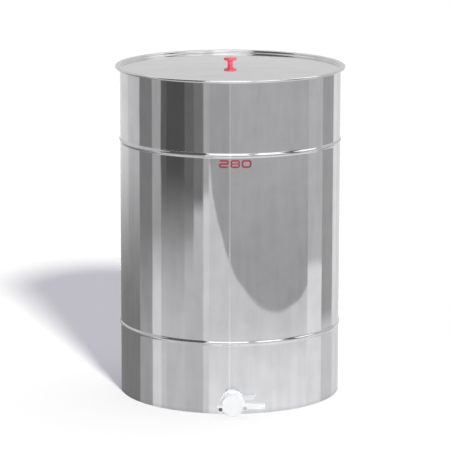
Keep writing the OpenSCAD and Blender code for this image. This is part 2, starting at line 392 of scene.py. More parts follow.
def spread(tree: Tree, value: Socket, middle: float, shares: tuple[float, float]) -> Socket:
    """A value from 0 to 1 carried into the range between two shares of a middle value."""
    return remap(tree, value, 0, 1, *(middle * share for share in shares))


def vectors(tree: Tree, operation: str, *inputs: Any, give: str = "Value") -> Socket:
    """One step of arithmetic with vectors, which gives a value or a vector."""
    node = add_node(tree, "ShaderNodeVectorMath", dict(enumerate(inputs)), operation=operation)
    return node.outputs[give]


def blend(tree: Tree, share: Socket, first: Any, second: Any) -> Socket:
    """A mix of two numbers."""
    return add_node(tree, "ShaderNodeMix", {"Factor": share, 2: first, 3: second}).outputs[0]


def tint(tree: Tree, share: Socket, first: Any, second: Any) -> Socket:
    """A mix of two colours.

    Args:
        tree: The node tree that takes the node.
        share: How much there is of the second colour.
        first: The first colour, a hex code or another node's output.
        second: The second colour, likewise.

    Returns:
        The mixed colour.
    """
    a, b = (linear(colour) if isinstance(colour, str) else colour for colour in (first, second))
    inputs = {"Factor": share, 6: a, 7: b}
    return add_node(tree, "ShaderNodeMix", inputs, data_type="RGBA").outputs[2]


def bump(tree: Tree, height: Socket, depth_mm: float) -> Socket:
    """A normal that leans as a surface with these heights does."""
    inputs = {"Height": height, "Strength": 1.0, "Distance": depth_mm * MM}
    return add_node(tree, "ShaderNodeBump", inputs).outputs[0]


@dataclass(frozen=True)
class Finish:
    """A named finish, which makes its material once and finds it again after that."""

    name: str

    def inputs(self, tree: Tree, coords: Any) -> dict[str, Any]:
        """The shader's inputs, from the texture coordinates."""
        raise NotImplementedError

    def material(self) -> bpy.types.Material:
        """Finds the finish's material, or makes it.

        Returns:
            The material.
        """
        found = bpy.data.materials.get(self.name)
        if found:
            return found
        made = bpy.data.materials.new(self.name)
        made.use_nodes = True
        tree = made.node_tree
        coords = add_node(tree, "ShaderNodeTexCoord").outputs
        set_inputs(tree, tree.nodes["Principled BSDF"], self.inputs(tree, coords))
        return made


@dataclass(frozen=True)
class BrightSheet(Finish):
    """Bright annealed stainless sheet: a mirror with faint clouds and rolling streaks.

    The streaks run along the directions whose scale is small, and are drawn coarser than real ones
    so that they show. The wall's upright weld is a band ground flush, paler and duller than the
    sheet on both sides. Faces that look towards the tank's axis are duller, from pickling the
    welds. Outside a radius, the lid's wall and rim are duller from their rolling.
    """

    colour: str = "#DFDFE1"
    dark: str = "#D3D3D5"
    stain_range: tuple[float, float] = (0.7, 1.3)
    roughness: float = 0.06
    rough_range: tuple[float, float] = (0.8, 1.25)
    streak_mm: float = 24.0
    cloud_mm: float = 60.0
    wave_mm: float = 260.0
    wave_depth: float = 0.9
    along: tuple[float, float, float] = (1.0, 1.0, 0.12)
    seam_x: float | None = None
    seam_w: float = 5.0
    seam_edge: tuple[float, float] = (0.7, 0.2)
    seam_colour: str = "#E4E4E6"
    seam_rough: float = 0.17
    inside_rough: float | None = None
    rolled_r: float | None = None
    rolled_soft: float = 1.5
    rolled_rough: float = 0.13

    def inputs(self, tree: Tree, coords: Any) -> dict[str, Any]:
        """The shader's inputs: stains and streaks of tone, a slow wave, and what is duller.

        Args:
            tree: The material's node tree.
            coords: Outputs of its texture coordinates.

        Returns:
            A value or an output for each input.
        """
        place = coords["Object"]
        scaled = {"Vector": place, "Scale": self.along}
        drawn = add_node(tree, "ShaderNodeMapping", scaled).outputs[0]
        streak = noise(tree, drawn, self.streak_mm, detail=4.0)
        cloud = noise(tree, place, self.cloud_mm, detail=5.0)
        wave = noise(tree, place, self.wave_mm, detail=2.0)
        stain = remap(tree, calc(tree, "ADD", streak, cloud), *self.stain_range)
        tone = tint(tree, stain, self.dark, self.colour)
        rough = spread(tree, streak, self.roughness, self.rough_range)
        if self.seam_x is not None:
            seam = self.seam(tree, place)
            tone = tint(tree, seam, tone, self.seam_colour)
            rough = blend(tree, seam, rough, self.seam_rough)
        flat = vectors(tree, "MULTIPLY", place, (1, 1, 0), give="Vector")
        if self.inside_rough is not None:
            out = vectors(tree, "DOT_PRODUCT", flat, coords["Normal"])
            rough = blend(tree, calc(tree, "LESS_THAN", out), rough, self.inside_rough)
        if self.rolled_r is not None:
            out = vectors(tree, "LENGTH", flat)
            edge = remap(tree, out, (self.rolled_r - self.rolled_soft) * MM, self.rolled_r * MM)
            rough = blend(tree, edge, rough, self.rolled_rough)
        normal = bump(tree, wave, self.wave_depth)
        return {"Metallic": 1.0, "Base Color": tone, "Roughness": rough, "Normal": normal}

    def seam(self, tree: Tree, place: Socket) -> Socket:
        """Where the weld is: 1 in a band down the front, with soft edges, and 0 elsewhere.

        Args:
            tree: The material's node tree.
            place: The place on the object.

        Returns:
            The output that says so.
        """
        x, y, _ = add_node(tree, "ShaderNodeSeparateXYZ", {0: place}).outputs
        off = calc(tree, "ABSOLUTE", calc(tree, "SUBTRACT", x, self.seam_x * MM))
        start, end = (self.seam_w * share * MM for share in self.seam_edge)
        band = remap(tree, off, start, end, interpolation_type="SMOOTHSTEP")
        return calc(tree, "MULTIPLY", band, calc(tree, "LESS_THAN", y))


@dataclass(frozen=True)
class Moulding(Finish):
    """Moulded plastic: an even colour with a faint cloud, and a fine grain that dulls its gloss."""

    colour: str
    cloud: str
    roughness: float
    rough_range: tuple[float, float] = (0.85, 1.15)
    cloud_mm: float = 16.7
    grain_mm: float = 0.9
    grain_depth: float = 0.004
    coat: float = 0.0
    coat_rough: float = 0.06
    see_in: float = 0.0
    see_in_mm: float = 6.0

    def inputs(self, tree: Tree, coords: Any) -> dict[str, Any]:
        """The shader's inputs: cloud, grain, a clear coat and how far light goes in.

        Args:
            tree: The material's node tree.
            coords: Outputs of its texture coordinates.

        Returns:
            A value or an output for each input.
        """
        place = coords["Object"]
        cloud = noise(tree, place, self.cloud_mm, detail=3.0)
        grain = noise(tree, place, self.grain_mm, detail=2.0)
        return {
            "Base Color": tint(tree, cloud, self.colour, self.cloud),
            "Roughness": spread(tree, grain, self.roughness, self.rough_range),
            "Normal": bump(tree, grain, self.grain_depth),
            "Coat Weight": self.coat,
            "Coat Roughness": self.coat_rough,
            "Subsurface Weight": self.see_in,
            "Subsurface Radius": (1.0, 1.0, 1.0),
            "Subsurface Scale": self.see_in_mm * MM,
        }


@dataclass(frozen=True)
class TurnedMetal(Finish):
    """Turned or drawn metal: fine changes of tone, and a softer mirror than sheet."""

    colour: str
    dark: str
    roughness: float
    rough_range: tuple[float, float] = (0.8, 1.3)
    line_mm: float = 0.6

    def inputs(self, tree: Tree, coords: Any) -> dict[str, Any]:
        """The shader's inputs: fine changes of tone and gloss.

        Args:
            tree: The material's node tree.
            coords: Outputs of its texture coordinates.

        Returns:
            A value or an output for each input.
        """
        lines = noise(tree, coords["Object"], self.line_mm, detail=3.0)
        return {
            "Metallic": 1.0,
            "Base Color": tint(tree, lines, self.dark, self.colour),
            "Roughness": spread(tree, lines, self.roughness, self.rough_range),
        }


ACROSS_X = (0.03, 1.0, 1.0)
WALL_SHEET = BrightSheet(
    "bright_annealed_wall_sheet", roughness=0.035, seam_x=-8.0, inside_rough=0.6)
LID_SHEET = BrightSheet(
    "bright_annealed_lid_sheet", "#E7E7E8", "#DADADB", along=ACROSS_X, rolled_r=308.0)
FLOOR_SHEET = BrightSheet("pickled_bottom_sheet", roughness=0.55, along=ACROSS_X)
WIRE = TurnedMetal("drawn_stainless_wire", "#B4B4B6", "#9A9A9C", 0.25)
FASTENER = TurnedMetal("stainless_fastener", "#C6C6CA", "#B6B6BA", 0.45)
# Painted shade: the pivot screw's steel is darker to stand for the shade in its well.
PIVOT_STEEL = TurnedMetal("dark_pivot_steel", "#747478", "#66666A", 0.4)
BRASS = TurnedMetal("turned_brass", "#C9A556", "#B08A3C", 0.3)
NYLON = Moulding("white_moulded_nylon", "#F8F9FD", "#F2F3F8", 0.55, see_in=0.1, see_in_mm=4.0)
RED_KNOB = Moulding("red_phenolic_knob", "#F4586E", "#EC4D66", 0.22, coat=0.6)
RED_MARK = Moulding("red_vinyl_mark", "#A02C46", "#94263F", 0.4, grain_depth=0.001)
RUBBER = Moulding("pale_food_silicone", "#E4E5E8", "#DADBDE", 0.6, see_in=0.3)


# Surfaces


def placed(name: str, data: bpy.types.ID) -> bpy.types.Object:
    """Puts a new object into the scene, at the origin.

    Args:
        name: The object's name.
        data: Its mesh, lamp or camera.

    Returns:
        The object.
    """
    obj = bpy.data.objects.new(name, data)
    bpy.context.scene.collection.objects.link(obj)
    return obj


@dataclass
class Surface:
    """Points in millimetres and the faces that join them."""

    points: Array
    faces: list[Array]

    def __add__(self, other: "Surface") -> "Surface":
        """Both surfaces in one mesh."""
        moved = [part + len(self.points) for part in other.faces]
        return Surface(np.vstack([self.points, other.points]), self.faces + moved)

    def mapped(self, place: Callable[[Array], Array]) -> "Surface":
        """The same faces over points that a function moves."""
        return Surface(place(self.points), self.faces)

    def moved(self, *shift: float) -> "Surface":
        """The same surface at another place."""
        return self.mapped(lambda p: p + shift)

    def piece(
        self, name: str, body: Body, slot: Slot, finish: Finish, *nodes: str, thickness: float = 0.0
    ) -> bpy.types.Object:
        """Makes the surface a finished piece of the object.

        Args:
            name: The piece's name.
            body: The body it rides on.
            slot: The record's material slot; not used.
            finish: The finish that dresses it.
            *nodes: The CAD nodes it stands for.
            thickness: Thickness in millimetres, where the points are a sheet's middle surface.

        Returns:
            The piece's object.
        """
        obj = placed(name, self.mesh(name))
        if thickness:
            wall = obj.modifiers.new("sheet", "SOLIDIFY")
            wall.thickness, wall.offset, wall.use_even_offset = thickness * MM, 0.0, True
        obj.data.materials.append(finish.material())
        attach(obj, body.value)
        if nodes:
            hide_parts(*nodes)
        LOG.info("%s: %d points on body %s", name, len(obj.data.vertices), body.value)
        return obj

    def mesh(self, name: str) -> bpy.types.Mesh:
        """Writes a mesh, with points at one place made one and sharp edges marked.

        Args:
            name: The mesh's name.

        Returns:
            The mesh, in metres.
        """
        keys = np.round(self.points, WELD_DECIMALS)
        _, first, again = np.unique(keys, axis=0, return_index=True, return_inverse=True)
        again = again.reshape(-1)
        loops, totals = [], []
        for part in self.faces:
            ring = again[part]
            keep = ring != np.roll(ring, 1, axis=1)
            whole = keep.sum(axis=1) >= 3
            loops.append(ring[whole][keep[whole]])
            totals.append(keep[whole].sum(axis=1))
        corner, total = np.concatenate(loops), np.concatenate(totals)
        mesh = bpy.data.meshes.new(name)
        mesh.vertices.add(len(first))
        mesh.vertices.foreach_set("co", (self.points[first] * MM).astype(np.float32).ravel())
        mesh.loops.add(len(corner))
        mesh.loops.foreach_set("vertex_index", corner.astype(np.int32))
        mesh.polygons.add(len(total))
        mesh.polygons.foreach_set("loop_start", np.r_[0, np.cumsum(total)[:-1]].astype(np.int32))
        mesh.polygons.foreach_set("use_smooth", np.ones(len(total), bool))
        mesh.update(calc_edges=True)
        mesh.validate()
        mesh.set_sharp_from_angle(angle=SMOOTH_UP_TO)
        return mesh


def grid_faces(
    rows: int, columns: int, close_rows: bool = False, close_columns: bool = True
) -> Array:
    """Quads of a grid of points stored row by row.

    Args:
        rows: Number of rows.
        columns: Number of columns.
        close_rows: Whether the last row joins the first.
        close_columns: Whether the last column joins the first.

    Returns:
        Four point numbers for each quad.
    """
    up_to, on_to = rows if close_rows else rows - 1, columns if close_columns else columns - 1
    i, j = (part.ravel() for part in np.meshgrid(np.arange(up_to), np.arange(on_to), indexing="ij"))
    up, on = (i + 1) % rows, (j + 1) % columns
    return np.column_stack([i * columns + j, i * columns + on, up * columns + on, up * columns + j])


def lathe(
    profile: Array, around: int = 96, hexagon: Array | None = None, thread: Array | None = None,
    pitch: float = 1.0, closed: bool = False,
) -> Surface:
    """A profile turned about the Z axis: x = r cos a, y = r sin a, z as in the profile.

    Where a row is hexagonal, its r is half the width across flats and is divided by the cosine of
    the angle from the nearest flat's middle. Where a row is threaded, r loses the thread's depth
    times a wave that climbs one pitch in each turn.

    Args:
        profile: Radius and height of each row, with the solid on the path's left.
        around: Number of columns.
        hexagon: How hexagonal each row is, 0 to 1.
        thread: Depth of the thread at each row.
        pitch: Pitch of the thread.
        closed: Whether the profile's last row joins its first.

    Returns:
        The turned surface.
    """
    a = 2 * np.pi * np.arange(around) / around
    radius = np.repeat(profile[:, :1], around, axis=1)
    height = np.repeat(profile[:, 1:], around, axis=1)
    if hexagon is not None:
        flat = 1 / np.cos((a + np.pi / 6) % (np.pi / 3) - np.pi / 6)
        radius = radius * (1 + hexagon[:, None] * (flat - 1))
    if thread is not None:
        wave = 0.5 - 0.5 * np.cos(2 * np.pi * height / pitch - a)
        radius = radius - thread[:, None] * wave
    points = np.stack([radius * np.cos(a), radius * np.sin(a), height], axis=-1).reshape(-1, 3)
    return Surface(points, [grid_faces(len(profile), around, closed)])


def sheet_section(path: Array, thickness: float) -> Array:
    """Closed section of a bent sheet or a stroke: its path moved half its thickness each way."""
    shift = left_shift(path, False) * thickness / 2
    return np.vstack([path - shift, (path + shift)[::-1]])


def plate(loops: list[tuple[Array, Array]]) -> Surface:
    """A flat moulding: each loop carried through an edge profile, and the loops filled between.

    A point is the loop's point moved to the loop's left by the profile's inset, at the profile's
    height. The outer loop runs anticlockwise and the holes run clockwise, so that left is into the
    material.

    Args:
        loops: Each loop's points, with rows of inset and height from the back to the front.

    Returns:
        The closed surface.
    """
    points, faces, backs, fronts, start = [], [], [], [], 0
    for loop, rows in loops:
        flat = loop + rows[:, :1, None] * left_shift(loop, True)
        up = np.broadcast_to(rows[:, 1, None, None], (*flat.shape[:2], 1))
        points.append(np.concatenate([flat, up], axis=2).reshape(-1, 3))
        faces.append(grid_faces(len(rows), len(loop)) + start)
        backs.append(start + np.arange(len(loop)))
        start += len(rows) * len(loop)
        fronts.append(start - len(loop) + np.arange(len(loop)))
    points = np.vstack(points)
    ends = np.cumsum([len(loop) for loop, _ in loops])
    borders = [part.tolist() for part in np.split(np.arange(ends[-1]), ends[:-1])]
    for rims, sign in ((backs, -1), (fronts, 1)):
        rim = np.concatenate(rims)
        flat = [Vector(point) for point in points[rim, :2]]
        _, _, fill, sources, *_ = delaunay_2d_cdt(flat, [], borders, LEAVE_HOLES_OPEN, SAME_POINT)
        tri = rim[np.array([source[0] for source in sources])[np.array(fill)]]
        a, b, c = (points[tri[:, k], :2] for k in range(3))
        area = (b - a)[:, 0] * (c - a)[:, 1] - (b - a)[:, 1] * (c - a)[:, 0]
        tri[sign * area < 0] = tri[sign * area < 0][:, ::-1]
        faces.append(tri)
    return Surface(points, faces)


# Sub-assemblies


@dataclass
class Tank:
    """The tank's wall with its rings and rolled rim, the wire in the rim, and the bottom."""

    radius: float = 315.0
    height: float = 943.0
    sheet: float = 1.0
    ring_heights: tuple[float, float] = (202.0, 733.0)
    ring_h: float = 16.0
    ring_out: float = 2.6
    wire_d: float = 5.0
    wire_gap: float = 0.05
    curl_end: float = -120.0
    flange_h: float = 7.0
    fold: float = 3.0
    outlet_z: float = 36.5
    outlet_r: float = 23.2
    columns: int = 288
    patch: int = 5
    patch_rings: int = 4
    row_gap: float = 60.0
    ring_edge: float = 0.8
    bottom_rows: int = 12
    centre_r: float = 0.01

    @property
    def wall_r(self) -> float:
        """Radius of the wall's middle surface."""
        return self.radius - self.sheet / 2

    @property
    def curl(self) -> tuple[float, float, float]:
        """The rolled rim's outer radius, and the radius and height of its middle."""
        outer = self.wire_d / 2 + self.wire_gap + self.sheet
        return outer, self.radius - self.sheet + outer, self.height - outer

    def build(self) -> None:
        """Builds and dresses the tank's pieces."""
        nodes = ("tank_shell", "tank_skirt", "outlet_panel")
        self.wall().piece(
            "tank_wall", Body.TANK, Slot.SHEET, WALL_SHEET, *nodes, thickness=self.sheet)
        _, x, z = self.curl
        wire = lathe(circle(x, z, self.wire_d / 2), around=240, closed=True)
        wire.piece("rim_hoop", Body.TANK, Slot.WIRE, WIRE, "rim_wire")
        self.bottom().piece("tank_floor", Body.TANK, Slot.SHEET, FLOOR_SHEET, "tank_bottom")

    def ring(self, z: float) -> Array:
        """Middle path of a stiffening ring: a crown arc between two blend arcs of its radius.

        The angle is twice that of a straight line from the ring's edge to its crown.

        Args:
            z: Height of its middle.

        Returns:
            Radius and height of each row.
        """
        angle = 2 * math.degrees(math.atan(self.ring_out / (self.ring_h / 2)))
        r, half = self.ring_h / 4 / math.sin(math.radians(angle)), self.ring_h / 2
        return chain(
            arc(self.wall_r + r, z - half, r, 180, 180 - angle, 6),
            arc(self.wall_r + self.ring_out - r, z, r, -angle, angle, 12),
            arc(self.wall_r + r, z + half, r, 180 + angle, 180, 6),
        )

    def wall_path(self) -> Array:
        """Middle path of the wall, upwards from the floor to the end of the rolled rim.

        Close to each ring the straight wall has a row of its own, which keeps its shading flat.

        Returns:
            Radius and height of each row.
        """
        outer, x, z = self.curl
        reach = self.patch * 2 * math.pi * self.wall_r / self.columns
        near_outlet = self.outlet_z + np.linspace(-reach, reach, 2 * self.patch + 1)
        low, high = (self.ring(h) for h in self.ring_heights)
        parts = [upright(self.wall_r, np.r_[0, near_outlet])]
        ends = near_outlet[-1], low[0, 1], low[-1, 1], high[0, 1], high[-1, 1], z
        for start, end in zip(ends[::2], ends[1::2]):
            between = np.linspace(start, end, max(3, round((end - start) / self.row_gap)))[1:-1]
            rows = np.r_[start, start + self.ring_edge, between, end - self.ring_edge]
            parts.append(upright(self.wall_r, rows))
        curl = arc(x, z, outer - self.sheet / 2, 180, self.curl_end, 28)
        return chain(parts[0], parts[1], low, parts[2], high, parts[3], curl)

    def wall(self) -> Surface:
        """The wall's middle surface with its outlet hole.

        The wall is its path turned about the Z axis, column 0 at the front. Round the outlet, a
        square block of the grid gives way to rings of points that pass evenly from the block's edge
        to the hole.

        Returns:
            The surface, to be given the sheet's thickness.
        """
        path, columns, n = self.wall_path(), self.columns, self.patch
        a = 2 * np.pi * np.arange(columns) / columns
        angle, height = np.broadcast_arrays(a, path[:, 1:])
        radius = np.broadcast_to(path[:, :1], angle.shape)
        quads = grid_faces(len(path), columns)
        across = (quads[:, 0] % columns + n) % columns < 2 * n
        up = quads[:, 0] // columns
        quads = quads[~(across & (up >= 1) & (up < 1 + 2 * n))]

        side, rows = np.arange(-n, n), np.arange(1, 1 + 2 * n)
        edge_column = np.r_[side, np.full(2 * n, n), -side, np.full(2 * n, -n)]
        edge_row = np.r_[np.full(2 * n, 1), rows, np.full(2 * n, 1 + 2 * n), 2 + 2 * n - rows]
        edge = edge_row * columns + edge_column % columns
        edge_a, edge_z = edge_column * a[1], path[edge_row, 1]
        to_edge = np.arctan2(edge_z - self.outlet_z, edge_a * self.wall_r)
        hole_a = np.arcsin(self.outlet_r * np.cos(to_edge) / self.wall_r)
        hole_z = self.outlet_z + self.outlet_r * np.sin(to_edge)
        share = np.arange(1, self.patch_rings + 1)[:, None] / self.patch_rings
        patch_a = (1 - share) * edge_a + share * hole_a
        patch_z = (1 - share) * edge_z + share * hole_z
        added = len(path) * columns + np.arange(patch_a.size).reshape(patch_a.shape)
        rings = np.vstack([edge, added])
        patch = rings.ravel()[grid_faces(len(rings), len(edge))]

        angle = np.r_[angle.ravel(), patch_a.ravel()]
        height = np.r_[height.ravel(), patch_z.ravel()]
        radius = np.r_[radius.ravel(), np.full(patch_a.size, self.wall_r)]
        points = np.column_stack([radius * np.sin(angle), -radius * np.cos(angle), height])
        return Surface(points, [quads, patch])

    def bottom(self) -> Surface:
        """The bottom: a flat disc with a folded, upturned flange, turned about the Z axis.

        Returns:
            The closed surface of the sheet.
        """
        r, half = self.radius - self.sheet - self.wire_gap - self.sheet / 2, self.sheet / 2
        radii = np.linspace(self.centre_r, r - self.fold, self.bottom_rows)
        path = chain(
            np.column_stack([radii, np.full(len(radii), half)]),
            arc(r - self.fold, half + self.fold, self.fold, -90, 0, 8),
            [r, self.flange_h],
        )
        section = sheet_section(path, self.sheet)
        section[[0, -1], 0] = 0
        return lathe(section, around=self.columns // 2, closed=True)


@dataclass(frozen=True)
class Screw:
    """A socket screw along Z, its thread below z = 0 and its shoulder and head above.

    The profile is turned about the Z axis. The thread is a wave on the shank that climbs one pitch
    in each turn, and the socket's rows are hexagonal. A shoulder of radius 0 is none.
    """

    thread_r: float
    thread_l: float
    head_r: float
    head_h: float
    pitch: float
    shoulder_r: float = 0.0
    shoulder_l: float = 0.0
    thread_share: float = 0.6
    thread_steps: int = 6
    runout: float = 0.4
    chamfer: float = 1.0
    crown_in: float = 0.3
    crown_down: float = 0.45
    under_edge: float = 0.2
    socket_r: float = 2.5
    socket_depth: float = 2.2
    socket_mouth: float = 0.25
    socket_cone: float = 0.3

    def surface(self) -> Surface:
        """Turns the screw's profile.

        Returns:
            The closed surface.
        """
        r, c, mouth = self.head_r, self.chamfer, self.socket_mouth
        run = np.arange(-self.thread_l + c, -self.runout, self.pitch / self.thread_steps)
        lower = chain(
            [0, -self.thread_l], [self.thread_r - c, -self.thread_l], upright(self.thread_r, run))
        under, top = self.shoulder_l, self.shoulder_l + self.head_h
        floor = top - self.socket_depth
        shoulder = [[self.shoulder_r, 0], [self.shoulder_r, under]] if self.shoulder_r else []
        upper = [
            [self.thread_r, 0], *shoulder,
            [r - self.under_edge, under], [r, under + self.under_edge],
            [r, top - c], [r - self.crown_in, top - self.crown_down], [r - c, top],
            [self.socket_r + mouth, top], [self.socket_r, top - mouth], [self.socket_r, floor],
            [0, floor - self.socket_cone],
        ]
        profile = np.vstack([lower, upper])
        hexagon, thread = np.zeros(len(profile)), np.zeros(len(profile))
        hexagon[-4:-1] = 1
        thread[len(lower) - len(run):len(lower)] = self.thread_share * self.pitch
        return lathe(profile, around=60, hexagon=hexagon, thread=thread, pitch=self.pitch)


def washer_ring(outer: float, hole: float, thickness: float, edge: float = 0.2) -> Surface:
    """A plain washer from z = 0: a ring with chamfered outer edges, turned about the Z axis."""
    rim = [[outer - edge, 0], [outer, edge], [outer, thickness - edge], [outer - edge, thickness]]
    return lathe(np.array([[hole, 0], *rim, [hole, thickness]]), around=60, closed=True)


def hexagon_nut(
    flats: float, bore: float, thickness: float, chamfer: float, face_in: float = 0.1,
    around: int = 60,
) -> Surface:
    """A hexagonal nut from z = 0, turned about the Z axis: round at its faces, hexagonal between.

    Args:
        flats: Width across flats.
        bore: Radius of the hole.
        thickness: Thickness.
        chamfer: Height of the chamfers.
        face_in: How far the round faces lie inside the flats.
        around: Number of columns.

    Returns:
        The closed surface.
    """
    half, face, mouth = flats / 2, flats / 2 - face_in, chamfer / 2
    profile = np.array([
        [bore, mouth], [bore + mouth, 0], [face, 0], [half, chamfer],
        [half, thickness - chamfer], [face, thickness], [bore + mouth, thickness],
        [bore, thickness - mouth],
    ])
    hexagon = np.array([0.0, 0.0, 0.0, 1.0, 1.0, 0.0, 0.0, 0.0])
    return lathe(profile, around, hexagon, closed=True)


@dataclass
class Lid:
    """The pressed lid with its crowned panel, and the knob that is screwed to it."""

    sheet: float = 1.0
    rim_z: float = 943.8
    wall_r: float = 312.3
    recess: float = 8.0
    crown: float = 7.0
    fold: float = 4.0
    rim_fold: float = 3.0
    outer_r: float = 327.9
    roll_r: float = 4.3
    roll_end: float = -110.0
    hole_r: float = 2.8
    seat_r: float = 13.0
    knob_d: float = 37.0
    knob_h: float = 21.5
    cap_h: float = 8.5
    cap_round: float = 2.6
    neck_d: float = 15.5
    foot_h: float = 3.0
    foot_edge: float = 0.5
    flare_end: float = 100.0
    cap_rows: int = 9
    panel_rows: int = 40
    insert_r: float = 4.35
    insert_l: float = 11.0
    insert_edge: float = 0.4
    insert_mouth: float = 0.3
    screw_d: float = 5.0
    screw_pitch: float = 0.8
    head_d: float = 10.0
    head_h: float = 3.3
    washer_d: float = 18.0
    washer_t: float = 1.2
    gap: float = 0.05

    @property
    def middle_z(self) -> float:
        """Height of the panel's middle surface under the knob."""
        return self.rim_z - self.recess + self.crown

    def build(self) -> None:
        """Builds and dresses the lid's pieces."""
        self.pan().piece("lid_sheet", Body.LID, Slot.SHEET, LID_SHEET, "lid_pan")
        top, under = (self.middle_z + side * self.sheet / 2 for side in (1, -1))
        self.knob().moved(0, 0, top).piece("knob", Body.LID, Slot.RED, RED_KNOB, "lid_knob")
        self.insert().moved(0, 0, top).piece(
            "knob_bush", Body.LID, Slot.BRASS, BRASS, "knob_insert")
        seat = under - self.washer_t
        washer_ring(self.washer_d / 2, self.hole_r, self.washer_t).moved(0, 0, seat).piece(
            "knob_backing_washer", Body.LID, Slot.FASTENER, FASTENER, "knob_washer")
        shank = self.washer_t + self.sheet + self.insert_l
        screw = Screw(self.screw_d / 2, shank, self.head_d / 2, self.head_h, self.screw_pitch)
        screw.surface().mapped(lambda p: p * [1, -1, -1]).moved(0, 0, seat).piece(
            "knob_fixing_screw", Body.LID, Slot.FASTENER, FASTENER, "knob_screw")

    def pan(self) -> Surface:
        """The lid's sheet: a path from the knob out to the rolled edge, turned about the Z axis.

        The panel falls from its flat middle to its edge as half a cosine wave, then folds up into a
        short wall, over the tank's rim and round into the rolled edge.

        Returns:
            The closed surface of the sheet.
        """
        edge_z, edge_r = self.rim_z - self.recess, self.wall_r - self.fold
        r = np.linspace(self.seat_r, edge_r, self.panel_rows)
        fall = (1 + np.cos(np.pi * (r - self.seat_r) / (edge_r - self.seat_r))) / 2
        roll, over = self.roll_r - self.sheet / 2, self.rim_fold
        path = chain(
            [self.hole_r, self.middle_z], np.column_stack([r, edge_z + self.crown * fall]),
            arc(edge_r, edge_z + self.fold, self.fold, -90, 0, 10),
            arc(self.wall_r + over, self.rim_z - over, over, 180, 90, 10),
            arc(self.outer_r - self.roll_r, self.rim_z - roll, roll, 90, self.roll_end, 26),
        )
        return lathe(sheet_section(path, self.sheet), around=320, closed=True)

    def knob(self) -> Surface:
        """The knob, turned about the Z axis: a neck that flares into a cap, over the bush's socket.

        Returns:
            The closed surface, from z = 0.
        """
        cap_z, edge = self.knob_h - self.cap_h, self.cap_round
        neck, r = self.neck_d / 2, self.knob_d / 2
        flare = min(cap_z - self.foot_h, r - edge - neck)
        socket, depth = self.insert_r + self.gap, self.insert_l + self.gap
        top = np.linspace(r - edge, 0, self.cap_rows)[1:]
        profile = chain(
            [0, depth], [socket, depth], [socket, self.insert_edge], [socket + self.insert_edge, 0],
            [neck - self.foot_edge, 0], [neck, self.foot_edge], [neck, cap_z - flare],
            arc(neck + flare, cap_z - flare, flare, 180, self.flare_end, 14),
            arc(r - edge, cap_z + edge, edge, -90, 0, 8),
            arc(r - edge, self.knob_h - edge, edge, 0, 90, 8),
            np.column_stack([top, np.full(len(top), self.knob_h)]),
        )
        return lathe(profile, around=96)

    def insert(self) -> Surface:
        """The knob's brass bush: a sleeve with chamfered ends, turned about the Z axis.

        Returns:
            The closed surface, from z = 0.
        """
        bore, mouth = self.screw_d / 2 + self.gap, self.insert_mouth
        r, z, edge = self.insert_r, self.insert_l, self.insert_edge
        profile = np.array([
            [bore, mouth], [bore + mouth, 0], [r - edge, 0], [r, edge],
            [r, z - edge], [r - edge, z], [bore, z],
        ])
        return lathe(profile, around=48, closed=True)


